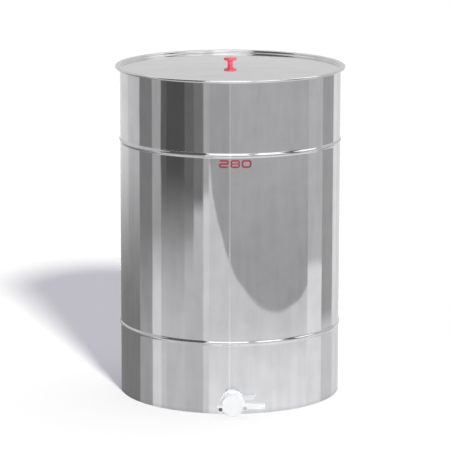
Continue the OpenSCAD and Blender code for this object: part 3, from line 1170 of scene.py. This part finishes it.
@dataclass
class HoneyGate:
    """The honey gate: body, seals, lock nut and screws on the tank, and the gate that swings.

    It is worked out at the outlet, x across, y up and z outwards from the front of the tank's wall.
    """

    tank_r: float = Tank.radius
    sheet: float = Tank.sheet
    outlet_z: float = Tank.outlet_z
    bore_r: float = 19.0
    bore_edge: float = 0.4
    thread_r: float = 22.9
    thread_pitch: float = 2.31
    thread_depth: float = 1.2
    thread_steps: int = 8
    spigot_s: float = -17.0
    spigot_mouth: float = 0.6
    spigot_chamfer: float = 1.0
    nut_s: float = -4.0
    nut_t: float = 10.0
    nut_flats: float = 55.8
    nut_chamfer: float = 1.2
    flange_r: float = 34.3
    flange_s: float = 2.0
    flange_t: float = 8.0
    flange_edge: float = 0.5
    flange_round: float = 1.6
    gasket_in: float = 1.0
    barrel_r: float = 25.5
    barrel_fillet: float = 3.0
    face_fillet: float = 2.4
    face_lap: float = 0.5
    face_s: float = 34.0
    face_t: float = 8.0
    face_r: float = 29.5
    face_rounds: tuple[float, float] = (0.5, 0.7)
    face_lug_r: float = 9.2
    hole_edge: float = 0.2
    pivot: tuple[float, float] = (-34.0, -11.0)
    catch: tuple[float, float] = (34.0, -7.3)
    seal_r: float = 23.5
    seal_d: float = 3.0
    seal_proud: float = 0.3
    groove_w: float = 3.1
    gate_s: float = 42.4
    gate_t: float = 7.5
    gate_r: float = 30.3
    gate_rounds: tuple[float, float] = (0.4, 1.1)
    well_edge: float = 0.4
    lug_r: float = 10.0
    slot_r: float = 4.4
    slot_lip: float = 1.2
    lever_h: float = 15.0
    lever_reach: float = 57.0
    lever_rise: float = 5.0
    lever_round: float = 5.0
    lever_root: float = 3.0
    fillet: float = 4.0
    gap: float = 0.05
    hole_gap: float = 0.3
    screw_r: float = 3.0
    screw_pitch: float = 1.0
    shoulder_r: float = 4.0
    head_r: float = 5.25
    head_h: float = 3.3
    head_gap: float = 0.3
    washer_r: float = 6.0
    washer_t: float = 1.2
    screw_nut_flats: float = 10.0
    screw_nut_t: float = 5.0
    screw_nut_chamfer: float = 0.7
    thread_past: float = 2.0
    face_spacing: float = 0.9
    gate_spacing: float = 0.7

    @property
    def face_front(self) -> float:
        """Distance of the face's front from the wall."""
        return self.face_s + self.face_t

    @property
    def head_seat(self) -> float:
        """Height above the gate's back of the seat under the pivot screw's head."""
        return self.gate_t - self.head_h - 2 * self.head_gap

    def at_outlet(self, points: Array) -> Array:
        """Points at the outlet turned into the frame: x, then -Y outwards, then z up."""
        x, y, s = points.T
        return np.column_stack([x, -self.tank_r - s, self.outlet_z + y])

    def build(self) -> None:
        """Builds and dresses the honey gate's pieces."""
        nut = hexagon_nut(
            self.nut_flats, self.thread_r + self.gap, self.nut_t, self.nut_chamfer, around=96)
        nut = nut.moved(0, 0, self.nut_s - self.nut_t)
        seal_s = self.face_front + self.seal_proud - self.seal_d / 2
        seal = lathe(circle(self.seal_r, seal_s, self.seal_d / 2), around=120, closed=True)
        for name, node, surface, body, slot, finish in (
            ("gate_body", "valve_body", self.body(), Body.TANK, Slot.NYLON, NYLON),
            ("wall_gasket", "outer_gasket", self.outer_gasket(), Body.TANK, Slot.RUBBER, RUBBER),
            ("nut_gasket", "inner_gasket", self.inner_gasket(), Body.TANK, Slot.RUBBER, RUBBER),
            ("spigot_nut", "lock_nut", nut, Body.TANK, Slot.NYLON, NYLON),
            ("gate_seal", "seal_ring", seal, Body.TANK, Slot.RUBBER, RUBBER),
            ("swing_gate", "gate_plate", self.gate(), Body.GATE, Slot.NYLON, NYLON),
        ):
            surface.mapped(self.at_outlet).piece(name, body, slot, finish, node)
        gap = self.gate_s - self.face_front
        # The pivot screw's finish carries painted shade for its well.
        self.fasteners(self.pivot, "pivot", gap + self.head_seat + self.head_gap, PIVOT_STEEL)
        self.fasteners(self.catch, "catch", gap + self.gate_t + self.head_gap, FASTENER)

    def fasteners(
        self, lug: tuple[float, float], name: str, shoulder_l: float, steel: Finish
    ) -> None:
        """Builds and dresses one lug's shouldered screw, washer and nut.

        Args:
            lug: The lug's place at the outlet.
            name: The screw's name.
            shoulder_l: Length of its shoulder.
            steel: The screw's finish.
        """
        thread_l = self.face_t + self.washer_t + self.screw_nut_t + self.thread_past
        screw = Screw(
            self.screw_r, thread_l, self.head_r, self.head_h, self.screw_pitch,
            self.shoulder_r, shoulder_l,
        )
        washer = washer_ring(self.washer_r, self.screw_r + self.hole_gap, self.washer_t)
        nut = hexagon_nut(
            self.screw_nut_flats, self.screw_r + self.gap, self.screw_nut_t, self.screw_nut_chamfer)
        washer_s = self.face_s - self.washer_t
        for kind, node, surface, s, finish in (
            ("bolt", "screw", screw.surface(), self.face_front, steel),
            ("plain_washer", "washer", washer, washer_s, FASTENER),
            ("hexagon_nut", "nut", nut, washer_s - self.screw_nut_t, FASTENER),
        ):
            surface.moved(*lug, s).mapped(self.at_outlet).piece(
                f"{name}_{kind}", Body.TANK, Slot.FASTENER, finish, f"{name}_{node}")

    def body(self) -> Surface:
        """The body: spigot, flange and barrel turned about the outlet, and the face as a plate.

        The spigot's thread is a wave that climbs one pitch in each turn. The barrel meets the
        flange and the face in fillets. The face has the outlet, the seal's groove and a hole in
        each lug.

        Returns:
            The body's surface at the outlet.
        """
        bore, back, mouth = self.bore_r, self.spigot_s, self.spigot_mouth
        step = self.thread_pitch / self.thread_steps
        run = np.arange(back + self.spigot_chamfer, self.flange_s - self.thread_depth, step)
        lower = chain(
            [bore, back + mouth], [bore + mouth, back], [self.thread_r - self.spigot_chamfer, back],
            upright(self.thread_r, run),
        )
        front, f, lap = self.flange_s + self.flange_t, self.face_fillet, self.face_s + self.face_lap
        edge, turned_r, foot = self.flange_edge, self.flange_round, self.barrel_fillet
        upper = chain(
            [self.thread_r - mouth, self.flange_s],
            arc(self.flange_r - edge, self.flange_s + edge, edge, -90, 0, 3),
            arc(self.flange_r - turned_r, front - turned_r, turned_r, 0, 90, 6),
            arc(self.barrel_r + foot, front + foot, foot, 270, 180, 8),
            arc(self.barrel_r + f, self.face_s - f, f, 180, 90, 8),
            [self.barrel_r + f, lap], [bore, lap],
        )
        profile = np.vstack([lower, upper])
        thread = np.zeros(len(profile))
        thread[len(lower) - len(run):len(lower)] = self.thread_depth
        turned = lathe(profile, around=128, thread=thread, pitch=self.thread_pitch, closed=True)

        back, front = self.face_s, self.face_front
        floor = front - self.seal_d + self.seal_proud
        inner, outer = (self.seal_r + side * self.groove_w / 2 - bore for side in (-1, 1))
        bore_rows = chain(
            [0, back], [0, front - self.bore_edge], [self.bore_edge, front], [inner, front],
            [inner, floor], [outer, floor], [outer, front],
        )
        hole_rows = np.array([[0, back], [0, front - self.hole_edge], [self.hole_edge, front]])
        loops = [
            (self.lobes(self.face_r, self.face_lug_r), edge_rows(back, front, *self.face_rounds)),
            (hole_loop(0, 0, bore, 128), bore_rows),
        ]
        hole_r = self.screw_r + self.gap
        loops += [(hole_loop(*lug, hole_r, 32), hole_rows) for lug in (self.pivot, self.catch)]
        return turned + plate(loops)

    def lobes(self, disc_r: float, lug_r: float) -> Array:
        """Outline of a disc with a lug on each side, joined by fillets.

        Args:
            disc_r: Radius of the disc.
            lug_r: Radius of the lugs.

        Returns:
            Points of the outline, anticlockwise and evenly spaced.
        """
        disc = Circle(np.zeros(2), disc_r, steps=60)
        left, right = (Circle(np.array(lug), lug_r, steps=40) for lug in (self.pivot, self.catch))
        lu, ld, ru, rd = (
            fillet(disc, lug, self.fillet, up) for lug in (left, right) for up in (True, False)
        )
        outline = along([ru, disc, lu, left, ld, disc, rd, right, ru, disc])
        return evenly(outline, self.face_spacing)

    def gate_outline(self) -> Array:
        """Outline of the gate: disc, pivot lug, slotted catch lug and lever, joined by fillets.

        The slot opens downwards between two rounded lips.

        Returns:
            Points of the outline, anticlockwise and evenly spaced.
        """
        f, lip, root, slot = self.fillet, self.slot_lip, self.lever_root, np.array(self.catch)
        disc = Circle(np.zeros(2), self.gate_r, steps=60)
        left, right = (
            Circle(np.array(lug), self.lug_r, steps=40) for lug in (self.pivot, self.catch)
        )
        lu, ld = (fillet(disc, left, f, up) for up in (True, False))
        rd = fillet(disc, right, f, False)
        top = slot[1] + self.lever_rise + self.lever_h / 2
        low, end, r = top - self.lever_h, slot[0] + self.lever_reach, self.lever_round
        over_x = math.sqrt((self.gate_r + f) ** 2 - (top + f) ** 2)
        over = Circle(np.array([over_x, top + f]), f, Turn.RIGHT)
        tip_x, (rd_x, rd_y) = slot[0] - self.slot_r - lip, rd.centre
        tip = Circle(np.array([tip_x, rd_y + math.sqrt((f + lip) ** 2 - (tip_x - rd_x) ** 2)]), lip)
        drop = math.sqrt((self.lug_r - lip) ** 2 - (self.slot_r + lip) ** 2)
        lip_right = slot + [self.slot_r + lip, -drop]
        under_y = low - root
        under_x = slot[0] + math.sqrt((self.lug_r + root) ** 2 - (under_y - slot[1]) ** 2)
        under = np.array([under_x, under_y])
        outline = chain(
            along([over, disc, lu, left, ld, disc, rd, tip]),
            turn(tip.centre, lip, bearing(tip.centre, rd.centre), 0, steps=6),
            turn(slot, self.slot_r, 180, 0, Turn.RIGHT),
            turn(lip_right, lip, 180, bearing(slot, lip_right), steps=6),
            turn(slot, self.lug_r, bearing(slot, lip_right), bearing(slot, under)),
            turn(under, root, bearing(under, slot), 90, Turn.RIGHT, 8),
            arc(end - r, low + r, r, -90, 0),
            arc(end - r, top - r, r, 0, 90),
            turn(over.centre, f, -90, bearing(over.centre, disc.centre), Turn.RIGHT, 8),
        )
        return evenly(outline, self.gate_spacing)

    def gate(self) -> Surface:
        """The gate: its outline with a rounded edge, and a stepped hole for the pivot screw.

        Returns:
            The closed surface at the outlet.
        """
        back, well, edge = self.gate_s, self.head_r + self.hole_gap, self.well_edge
        front, seat = back + self.gate_t, back + self.head_seat
        step = self.shoulder_r + self.gap - well
        rows = chain([step, back], [step, seat], [0, seat], [0, front - edge], [edge, front])
        return plate([
            (self.gate_outline(), edge_rows(back, front, *self.gate_rounds)),
            (hole_loop(*self.pivot, well, 48), rows),
        ])

    def saddle(
        self, outer: float, front: Callable[[Array], Array], back: Callable[[Array], Array],
        across: int = 6, around: int = 120,
    ) -> Surface:
        """A ring round the spigot between two surfaces: rows along its section, columns round it.

        Args:
            outer: Outer radius.
            front: Distance outwards of its front for each x across.
            back: Distance outwards of its back for each x across.
            across: Number of rows on each side.
            around: Number of columns.

        Returns:
            The closed ring.
        """
        a = 2 * np.pi * np.arange(around) / around
        out = np.linspace(self.thread_r + self.hole_gap, outer, across)
        radius = np.r_[out, out[::-1]][:, None]
        x, y = radius * np.cos(a), radius * np.sin(a)
        s = np.vstack([back(x[:across]), front(x[across:])])
        points = np.stack([x, y, s], axis=-1).reshape(-1, 3)
        return Surface(points, [grid_faces(2 * across, around, True)])

    def round_s(self, x: Array, radius: float) -> Array:
        """Distance outwards, at each x across, of a round surface about the tank's axis."""
        return np.sqrt(radius * radius - x * x) - self.tank_r

    def outer_gasket(self) -> Surface:
        """The gasket outside the wall: flat against the flange, and round the wall at its back.

        Returns:
            The closed ring.
        """
        return self.saddle(
            self.flange_r - self.gasket_in, lambda x: np.full_like(x, self.flange_s),
            lambda x: self.round_s(x, self.tank_r + self.gap),
        )

    def inner_gasket(self) -> Surface:
        """The gasket inside the wall: round the wall at its front, and flat against the lock nut.

        Returns:
            The closed ring.
        """
        return self.saddle(
            self.nut_flats / 2, lambda x: self.round_s(x, self.tank_r - self.sheet - self.gap),
            lambda x: np.full_like(x, self.nut_s),
        )


@dataclass
class CapacityMark:
    """A plain number of litres on the front of the wall, in cut film that follows its round."""

    wall_r: float = Tank.radius
    middle_x: float = 6.5
    middle_z: float = 711.0
    height: float = 23.0
    width: float = 28.0
    pitch: float = 31.2
    stroke: float = 5.2
    bar_share: float = 0.7
    waist: float = 0.13
    waist_h: float = 2.6
    corner: float = 8.5
    inner_more: float = 1.0
    slack: float = 0.1
    film: float = 0.25
    film_gap: float = 0.02
    film_edge: float = 0.08
    spacing: float = 0.8
    fine_spacing: float = 0.6

    def build(self) -> None:
        """Builds and dresses the three digits."""
        rows = edge_rows(self.film_gap, self.film, 0.0, self.film_edge, 2)[1:]
        for place, maker in enumerate((self.two, self.eight, self.nought)):
            digit = plate([(loop, rows) for loop in maker()])
            digit.moved(self.middle_x + (place - 1) * self.pitch, 0, 0).mapped(self.on_wall).piece(
                f"mark_{maker.__name__}", Body.TANK, Slot.RED, RED_MARK)

    def on_wall(self, points: Array) -> Array:
        """Points laid on the wall: x becomes an arc length round it, z the height above it."""
        a, r = points[:, 0] / self.wall_r, self.wall_r + points[:, 2]
        return np.column_stack([r * np.sin(a), -r * np.cos(a), self.middle_z + points[:, 1]])

    def nought(self) -> list[Array]:
        """The nought: a round-cornered frame.

        Returns:
            Its outline, and then its holes.
        """
        w, h, s, r = self.width, self.height, self.stroke, self.corner
        inner = box_loop(0, 0, w - 2 * s, h - 2 * s, r - s + self.inner_more)
        return [evenly(box_loop(0, 0, w, h, r), self.spacing), evenly(inner, self.spacing)[::-1]]

    def eight(self) -> list[Array]:
        """The eight: a round-cornered frame, drawn in at its waist, with a bar across its middle.

        Returns:
            Its outline, and then its holes.
        """
        w, h, s, r = self.width, self.height, self.stroke, self.corner
        bar = self.bar_share * s
        room = (h - 2 * s - bar) / 2
        outer = evenly(box_loop(0, 0, w, h, r), self.spacing)
        outer[:, 0] *= 1 - self.waist * np.exp(-(outer[:, 1] / self.waist_h) ** 2)
        rooms = [
            box_loop(0, side * (room + bar) / 2, w - 2 * s, room, room / 2 - self.slack)
            for side in (-1, 1)
        ]
        return [outer] + [evenly(loop, self.fine_spacing)[::-1] for loop in rooms]

    def two(self) -> list[Array]:
        """The two: a stroke that turns twice, widened to both sides.

        Returns:
            Its outline, and then its holes.
        """
        x, y, s = (self.width - self.stroke) / 2, (self.height - self.stroke) / 2, self.stroke
        corners = np.array([[-x, y], [x, y], [x, 0], [-x, 0], [-x, -y], [x, -y]])
        bend = min(self.corner - s / 2 - self.inner_more, y / 2 - self.slack)
        return [sheet_section(evenly(rounded(corners, bend), self.spacing, closed=False), s)]


# Studio


@dataclass(frozen=True)
class Board:
    """A stretch of ground that the wall mirrors, its tone close by passing into another far off.

    Start and end are the angles round the wall, in degrees from -Y towards +X, between which the
    camera sees the board. Distances are metres along the ground from the wall.
    """

    start: float
    end: float
    near: float
    far: float
    near_m: float
    far_m: float
    past_paper: bool = False


@dataclass(frozen=True)
class Pane:
    """A pane of the room, between two azimuths and two heights, that rings and rims catch."""

    start: float
    end: float
    low: float = 28.0
    high: float = 62.0
    strength: float = 1.7
    distance_m: float = 6.0


@dataclass(frozen=True)
class Lamp:
    """A broad, even lamp far off.

    Azimuth is degrees from -Y towards +X, height is degrees above the floor, and spread is the
    angle that the lamp fills. It lights everything, or only some objects, or all but some. Where
    blockers are named, only they cast its shadow. Lamps that stand for light thrown back by bright
    steel cast none.
    """

    name: str
    azimuth: float
    height: float
    spread: float
    strength: float
    only: tuple[str, ...] = ()
    all_but: tuple[str, ...] = ()
    blockers: tuple[str, ...] = ()
    colour: str = "#FFFFFF"
    shadow: bool = True


def eased(share: Array) -> Array:
    """A share held between 0 and 1, leaving and arriving gently: 3 x squared less 2 x cubed."""
    x = np.clip(share, 0, 1)
    return x * x * (3 - 2 * x)


def link_group(name: str, members: tuple[str, ...], state: str = "INCLUDE") -> bpy.types.Collection:
    """Makes a group of objects that a lamp lights, passes by or is blocked by.

    Args:
        name: The group's name.
        members: The objects' names.
        state: "INCLUDE", or "EXCLUDE" for objects to pass by.

    Returns:
        The group.
    """
    group = bpy.data.collections.new(name)
    for member in members:
        group.objects.link(bpy.data.objects[member])
    for entry in group.collection_objects:
        entry.light_linking.link_state = state
    return group


def bare_tree(holder: bpy.types.Material | bpy.types.World) -> Tree:
    """Gives a material or a world nodes of its own making.

    Args:
        holder: The material or world.

    Returns:
        Its node tree, empty.
    """
    holder.use_nodes = True
    holder.node_tree.nodes.clear()
    return holder.node_tree


def seen(tree: Tree) -> Socket:
    """Tells what is seen from what only lights: 1 on direct, mirrored and see-through rays, or 0.

    Args:
        tree: The node tree that takes the nodes.

    Returns:
        The output that says so.
    """
    rays = add_node(tree, "ShaderNodeLightPath").outputs
    either = calc(tree, "MAXIMUM", rays["Is Camera Ray"], rays["Is Glossy Ray"])
    return calc(tree, "MAXIMUM", either, rays["Is Transmission Ray"])


@dataclass
class Studio:
    """Pale floor, soft light, boards and panes for the steel to mirror, and the camera."""

    camera_m: tuple[float, float, float] = (-0.2025, -7.998, 2.0459)
    lens_mm: float = 226.5
    sensor_mm: float = 36.0
    sight_m: float = 200.0
    pitch: float = 11.087
    yaw: float = 1.35
    roll: float = 0.118
    floor_m: float = 40.0
    floor_tone: float = 0.12
    floor_glow: float = 0.379
    floor_shade: str = "#F1EFFF"
    room_light: float = 0.5
    lamps: tuple[Lamp, ...] = (
        Lamp("soft_key", 12, 20, 32, 1.42, all_but=(FLOOR,)),
        Lamp(
            "floor_sun", 15, 33, 6.5, 25.0, (FLOOR,), blockers=("tank_wall", "lid_sheet"),
            colour="#FEFFF4",
        ),
        Lamp("floor_fill", 130, 70, 50, 3.6, (FLOOR,)),
        Lamp("wall_bounce", 180, 0, 40, 1.8, ("gate_body", "swing_gate"), shadow=False),
        Lamp("lid_bounce", 60, -30, 40, 1.8, ("knob",), shadow=False),
    )
    boards: tuple[Board, ...] = (
        Board(-90, -67, 0.24, 0.8, 1.0, 4.6),
        Board(-67, -55, 0.25, 0.66, 0.9, 5.0),
        Board(-55, -45, 0.45, 0.25, 0.5, 3.0),
        Board(-45, -39, 0.85, 0.46, 1.2, 2.8),
        Board(-39, -35.5, 0.74, 0.14, 0.4, 4.0),
        Board(-35.5, -25, 0.66, 0.1, 0.6, 4.2),
        Board(-25, -20, 0.62, 0.165, 1.5, 3.7),
        Board(-20, -15, 0.62, 0.225, 2.9, 3.4),
        Board(-15, -12, 0.82, 0.5, 3.3, 3.7),
        Board(-12, -1, 0.42, 0.45, 1.3, 4.7, past_paper=True),
        Board(-1, 42.5, 0.44, 0.53, 1.3, 4.7, past_paper=True),
        Board(42.5, 54, 0.94, 0.6, 1.8, 2.05),
        Board(54, 66, 0.74, 0.43, 0.85, 1.2),
        Board(66, 72, 0.84, 0.9, 0.8, 2.0),
        Board(72, 90, 0.78, 0.8, 0.8, 2.0),
    )
    board_soft: float = 0.7
    panes: tuple[Pane, ...] = (
        Pane(-112, -76, 5, 80, 0.6, 7.0),
        Pane(-76, -27, 5, 80, 0.13, 7.0),
        Pane(-27, 62, 5, 80, 0.65, 7.0),
        Pane(62, 77, 5, 80, 0.2, 7.0),
        Pane(77, 112, 5, 80, 0.6, 7.0),
        Pane(-27, 20),
        Pane(30, 60),
        Pane(78, 104),
        Pane(112, 248, 0.5, 45, 0.7, 8.0),
    )
    pane_points: int = 9
    paper: tuple[tuple[float, float], ...] = (
        (0.0, 1.05), (0.3, 0.96), (0.6, 0.93), (1.0, 0.79), (1.3, 0.75), (12.0, 0.77),
    )
    paper_edge_m: float = 1.56
    paper_edge_azimuth: float = 47.5
    paper_edge_soft: float = 0.05
    # Painted shade on the mirrored ground where it meets the wall: its reach and its darkest tone.
    contact_m: float = 0.05
    contact_tone: float = 0.85
    tank_m: float = Tank.radius * MM
    ground_m: float = 12.0
    ground_z_m: float = 0.001
    ground_rows: int = 240
    ground_angle: float = 84.0
    ground_step: float = 0.25

    def build(self) -> None:
        """Builds the floor, the boards, the panes, the lamps, the world and the camera."""
        self.floor()
        self.ground()
        for number, pane in enumerate(self.panes):
            self.pane(f"pane_{number}", pane)
        for lamp in self.lamps:
            self.lamp(lamp)
        self.world()
        self.camera()

    def sheet(
        self, name: str, points: Array, quads: Array, material: bpy.types.Material
    ) -> bpy.types.Object:
        """Adds a stage object from points in metres.

        Args:
            name: The object's name.
            points: Points in metres.
            quads: Faces.
            material: Its material.

        Returns:
            The object.
        """
        mesh = bpy.data.meshes.new(name)
        mesh.from_pydata(points.tolist(), [], quads.tolist())
        mesh.materials.append(material)
        obj = placed(name, mesh)
        return obj

    def floor(self) -> None:
        """The square white floor: it glows a little where it is seen, so shadows stay pale."""
        made = bpy.data.materials.new("white_paper_floor")
        tree = bare_tree(made)
        tone = (*(self.floor_tone,) * 3, 1.0)
        paper = add_node(tree, "ShaderNodeBsdfDiffuse", {"Color": tone}).outputs[0]
        level = calc(tree, "MULTIPLY", seen(tree), self.floor_glow)
        glowing = {"Color": linear(self.floor_shade), "Strength": level}
        glow = add_node(tree, "ShaderNodeEmission", glowing).outputs[0]
        both = add_node(tree, "ShaderNodeAddShader", {0: paper, 1: glow}).outputs[0]
        add_node(tree, "ShaderNodeOutputMaterial", {"Surface": both})
        h = self.floor_m
        corners = np.array([[-h, -h, 0], [h, -h, 0], [h, h, 0], [-h, h, 0]])
        self.sheet(FLOOR, corners, np.array([[0, 1, 2, 3]]), made)

    def ground(self) -> None:
        """The ground that the wall mirrors: a grid along the sight lines that the wall turns away.

        A sight line leaves the wall at twice its angle round the wall, less the camera's own
        azimuth, so a board's sides stand upright in the wall. White paper lies in front, up to a
        straight edge. A board's tone passes from near to far with distance, and a painted shade
        darkens everything where it meets the wall.
        """
        last, step = self.ground_angle, self.ground_step
        angle = np.arange(-last, last + step / 2, step)
        run = self.ground_m * np.linspace(0, 1, self.ground_rows)[:, None] ** 2
        a = np.radians(angle)
        wall_x, wall_y = self.tank_m * np.sin(a), -self.tank_m * np.cos(a)
        sight = np.arctan2(self.camera_m[0] - wall_x, wall_y - self.camera_m[1])
        x, y = wall_x + run * np.sin(2 * a - sight), wall_y - run * np.cos(2 * a - sight)

        e = math.radians(self.paper_edge_azimuth)
        beyond = x * math.sin(e) - y * math.cos(e) - self.paper_edge_m
        past = eased(beyond / self.paper_edge_soft + 0.5)
        paper = np.interp(run, *np.transpose(self.paper))
        tone = np.zeros_like(x)
        for board in self.boards:
            share = eased((run - board.near_m) / (board.far_m - board.near_m))
            own = board.near + (board.far - board.near) * share
            own = paper + (own - paper) * past if board.past_paper else own
            sides = ((angle - board.start) / self.board_soft, (board.end - angle) / self.board_soft)
            tone += own * np.prod(np.clip(np.array(sides) + 0.5, 0, 1), axis=0)
        # Painted shade: the mirrored ground darkens close to the wall.
        tone *= self.contact_tone + (1 - self.contact_tone) * eased(run / self.contact_m)
        points = np.stack([x, y, np.full_like(x, self.ground_z_m)], axis=-1)
        self.mirrored("grey_boards", points, tone)

    def pane(self, name: str, pane: Pane) -> None:
        """Adds a pane of a sphere about the tank, on a grid of azimuths and heights.

        Args:
            name: The object's name.
            pane: The pane.
        """
        azimuth = np.radians(np.linspace(pane.start, pane.end, self.pane_points))
        height = np.radians(np.linspace(pane.low, pane.high, self.pane_points))[:, None]
        x, y = np.cos(height) * np.sin(azimuth), -np.cos(height) * np.cos(azimuth)
        z = np.broadcast_to(np.sin(height), x.shape)
        points = pane.distance_m * np.stack([x, y, z], axis=-1)
        self.mirrored(name, points, np.full(x.shape, pane.strength))

    def mirrored(self, name: str, grid: Array, tone: Array) -> None:
        """Adds a grid that glows at each point's tone and is seen only in reflections.

        Args:
            name: The object's name.
            grid: Points in metres, by row and column.
            tone: Strength of the glow at each point.
        """
        made = bpy.data.materials.get("mirrored_tone")
        if not made:
            made = bpy.data.materials.new("mirrored_tone")
            tree = bare_tree(made)
            level = add_node(tree, "ShaderNodeAttribute", attribute_name="tone").outputs["Fac"]
            glow = add_node(tree, "ShaderNodeEmission", {"Strength": level}).outputs[0]
            add_node(tree, "ShaderNodeOutputMaterial", {"Surface": glow})
        quads = grid_faces(*tone.shape, close_columns=False)
        board = self.sheet(name, grid.reshape(-1, 3), quads, made)
        tones = board.data.attributes.new("tone", "FLOAT", "POINT")
        tones.data.foreach_set("value", tone.astype(np.float32).ravel())
        board.visible_camera = board.visible_diffuse = False
        board.visible_shadow = board.visible_transmission = False

    def lamp(self, lamp: Lamp) -> None:
        """Adds a lamp, turned to the tank, and says what it lights and what blocks it.

        Args:
            lamp: The lamp.
        """
        data = bpy.data.lights.new(lamp.name, "SUN")
        data.energy, data.use_shadow = lamp.strength, lamp.shadow
        data.angle = math.radians(lamp.spread)
        data.color = linear(lamp.colour)[:3]
        obj = placed(lamp.name, data)
        a, e = math.radians(lamp.azimuth), math.radians(lamp.height)
        way = Vector((math.sin(a) * math.cos(e), -math.cos(a) * math.cos(e), math.sin(e)))
        obj.rotation_euler = way.to_track_quat("Z", "Y").to_euler()
        if lamp.only:
            obj.light_linking.receiver_collection = link_group(f"{lamp.name}_lit", lamp.only)
        if lamp.all_but:
            unlit = link_group(f"{lamp.name}_unlit", lamp.all_but, "EXCLUDE")
            obj.light_linking.receiver_collection = unlit
        if lamp.blockers:
            blockers = link_group(f"{lamp.name}_blockers", lamp.blockers)
            obj.light_linking.blocker_collection = blockers

    def world(self) -> None:
        """A white room: part of its strength as light, its full strength where it is seen."""
        world = bpy.data.worlds.new("white_room")
        bpy.context.scene.world = world
        tree = bare_tree(world)
        level = remap(tree, seen(tree), 0, 1, self.room_light, 1)
        white = {"Color": (1, 1, 1, 1), "Strength": level}
        glow = add_node(tree, "ShaderNodeBackground", white).outputs[0]
        add_node(tree, "ShaderNodeOutputWorld", {"Surface": glow})

    def camera(self) -> None:
        """The camera, at the photograph's place and angle."""
        data = bpy.data.cameras.new("camera")
        data.lens, data.sensor_width, data.clip_end = self.lens_mm, self.sensor_mm, self.sight_m
        obj = placed("camera", data)
        turns = ((-self.yaw, "Z"), (90 - self.pitch, "X"), (self.roll, "Z"))
        yaw, pitch, roll = (Matrix.Rotation(math.radians(angle), 4, axis) for angle, axis in turns)
        obj.matrix_world = Matrix.Translation(self.camera_m) @ yaw @ pitch @ roll
        bpy.context.scene.camera = obj


def main() -> None:
    """Builds the tank, its lid, its honey gate and mark, and the studio round them."""
    logging.basicConfig(level=logging.INFO, format="%(name)s %(message)s")
    bpy.context.scene.view_settings.view_transform = "Standard"
    for part in (Tank(), Lid(), HoneyGate(), CapacityMark(), Studio()):
        part.build()


if __name__ == "__main__":
    main()
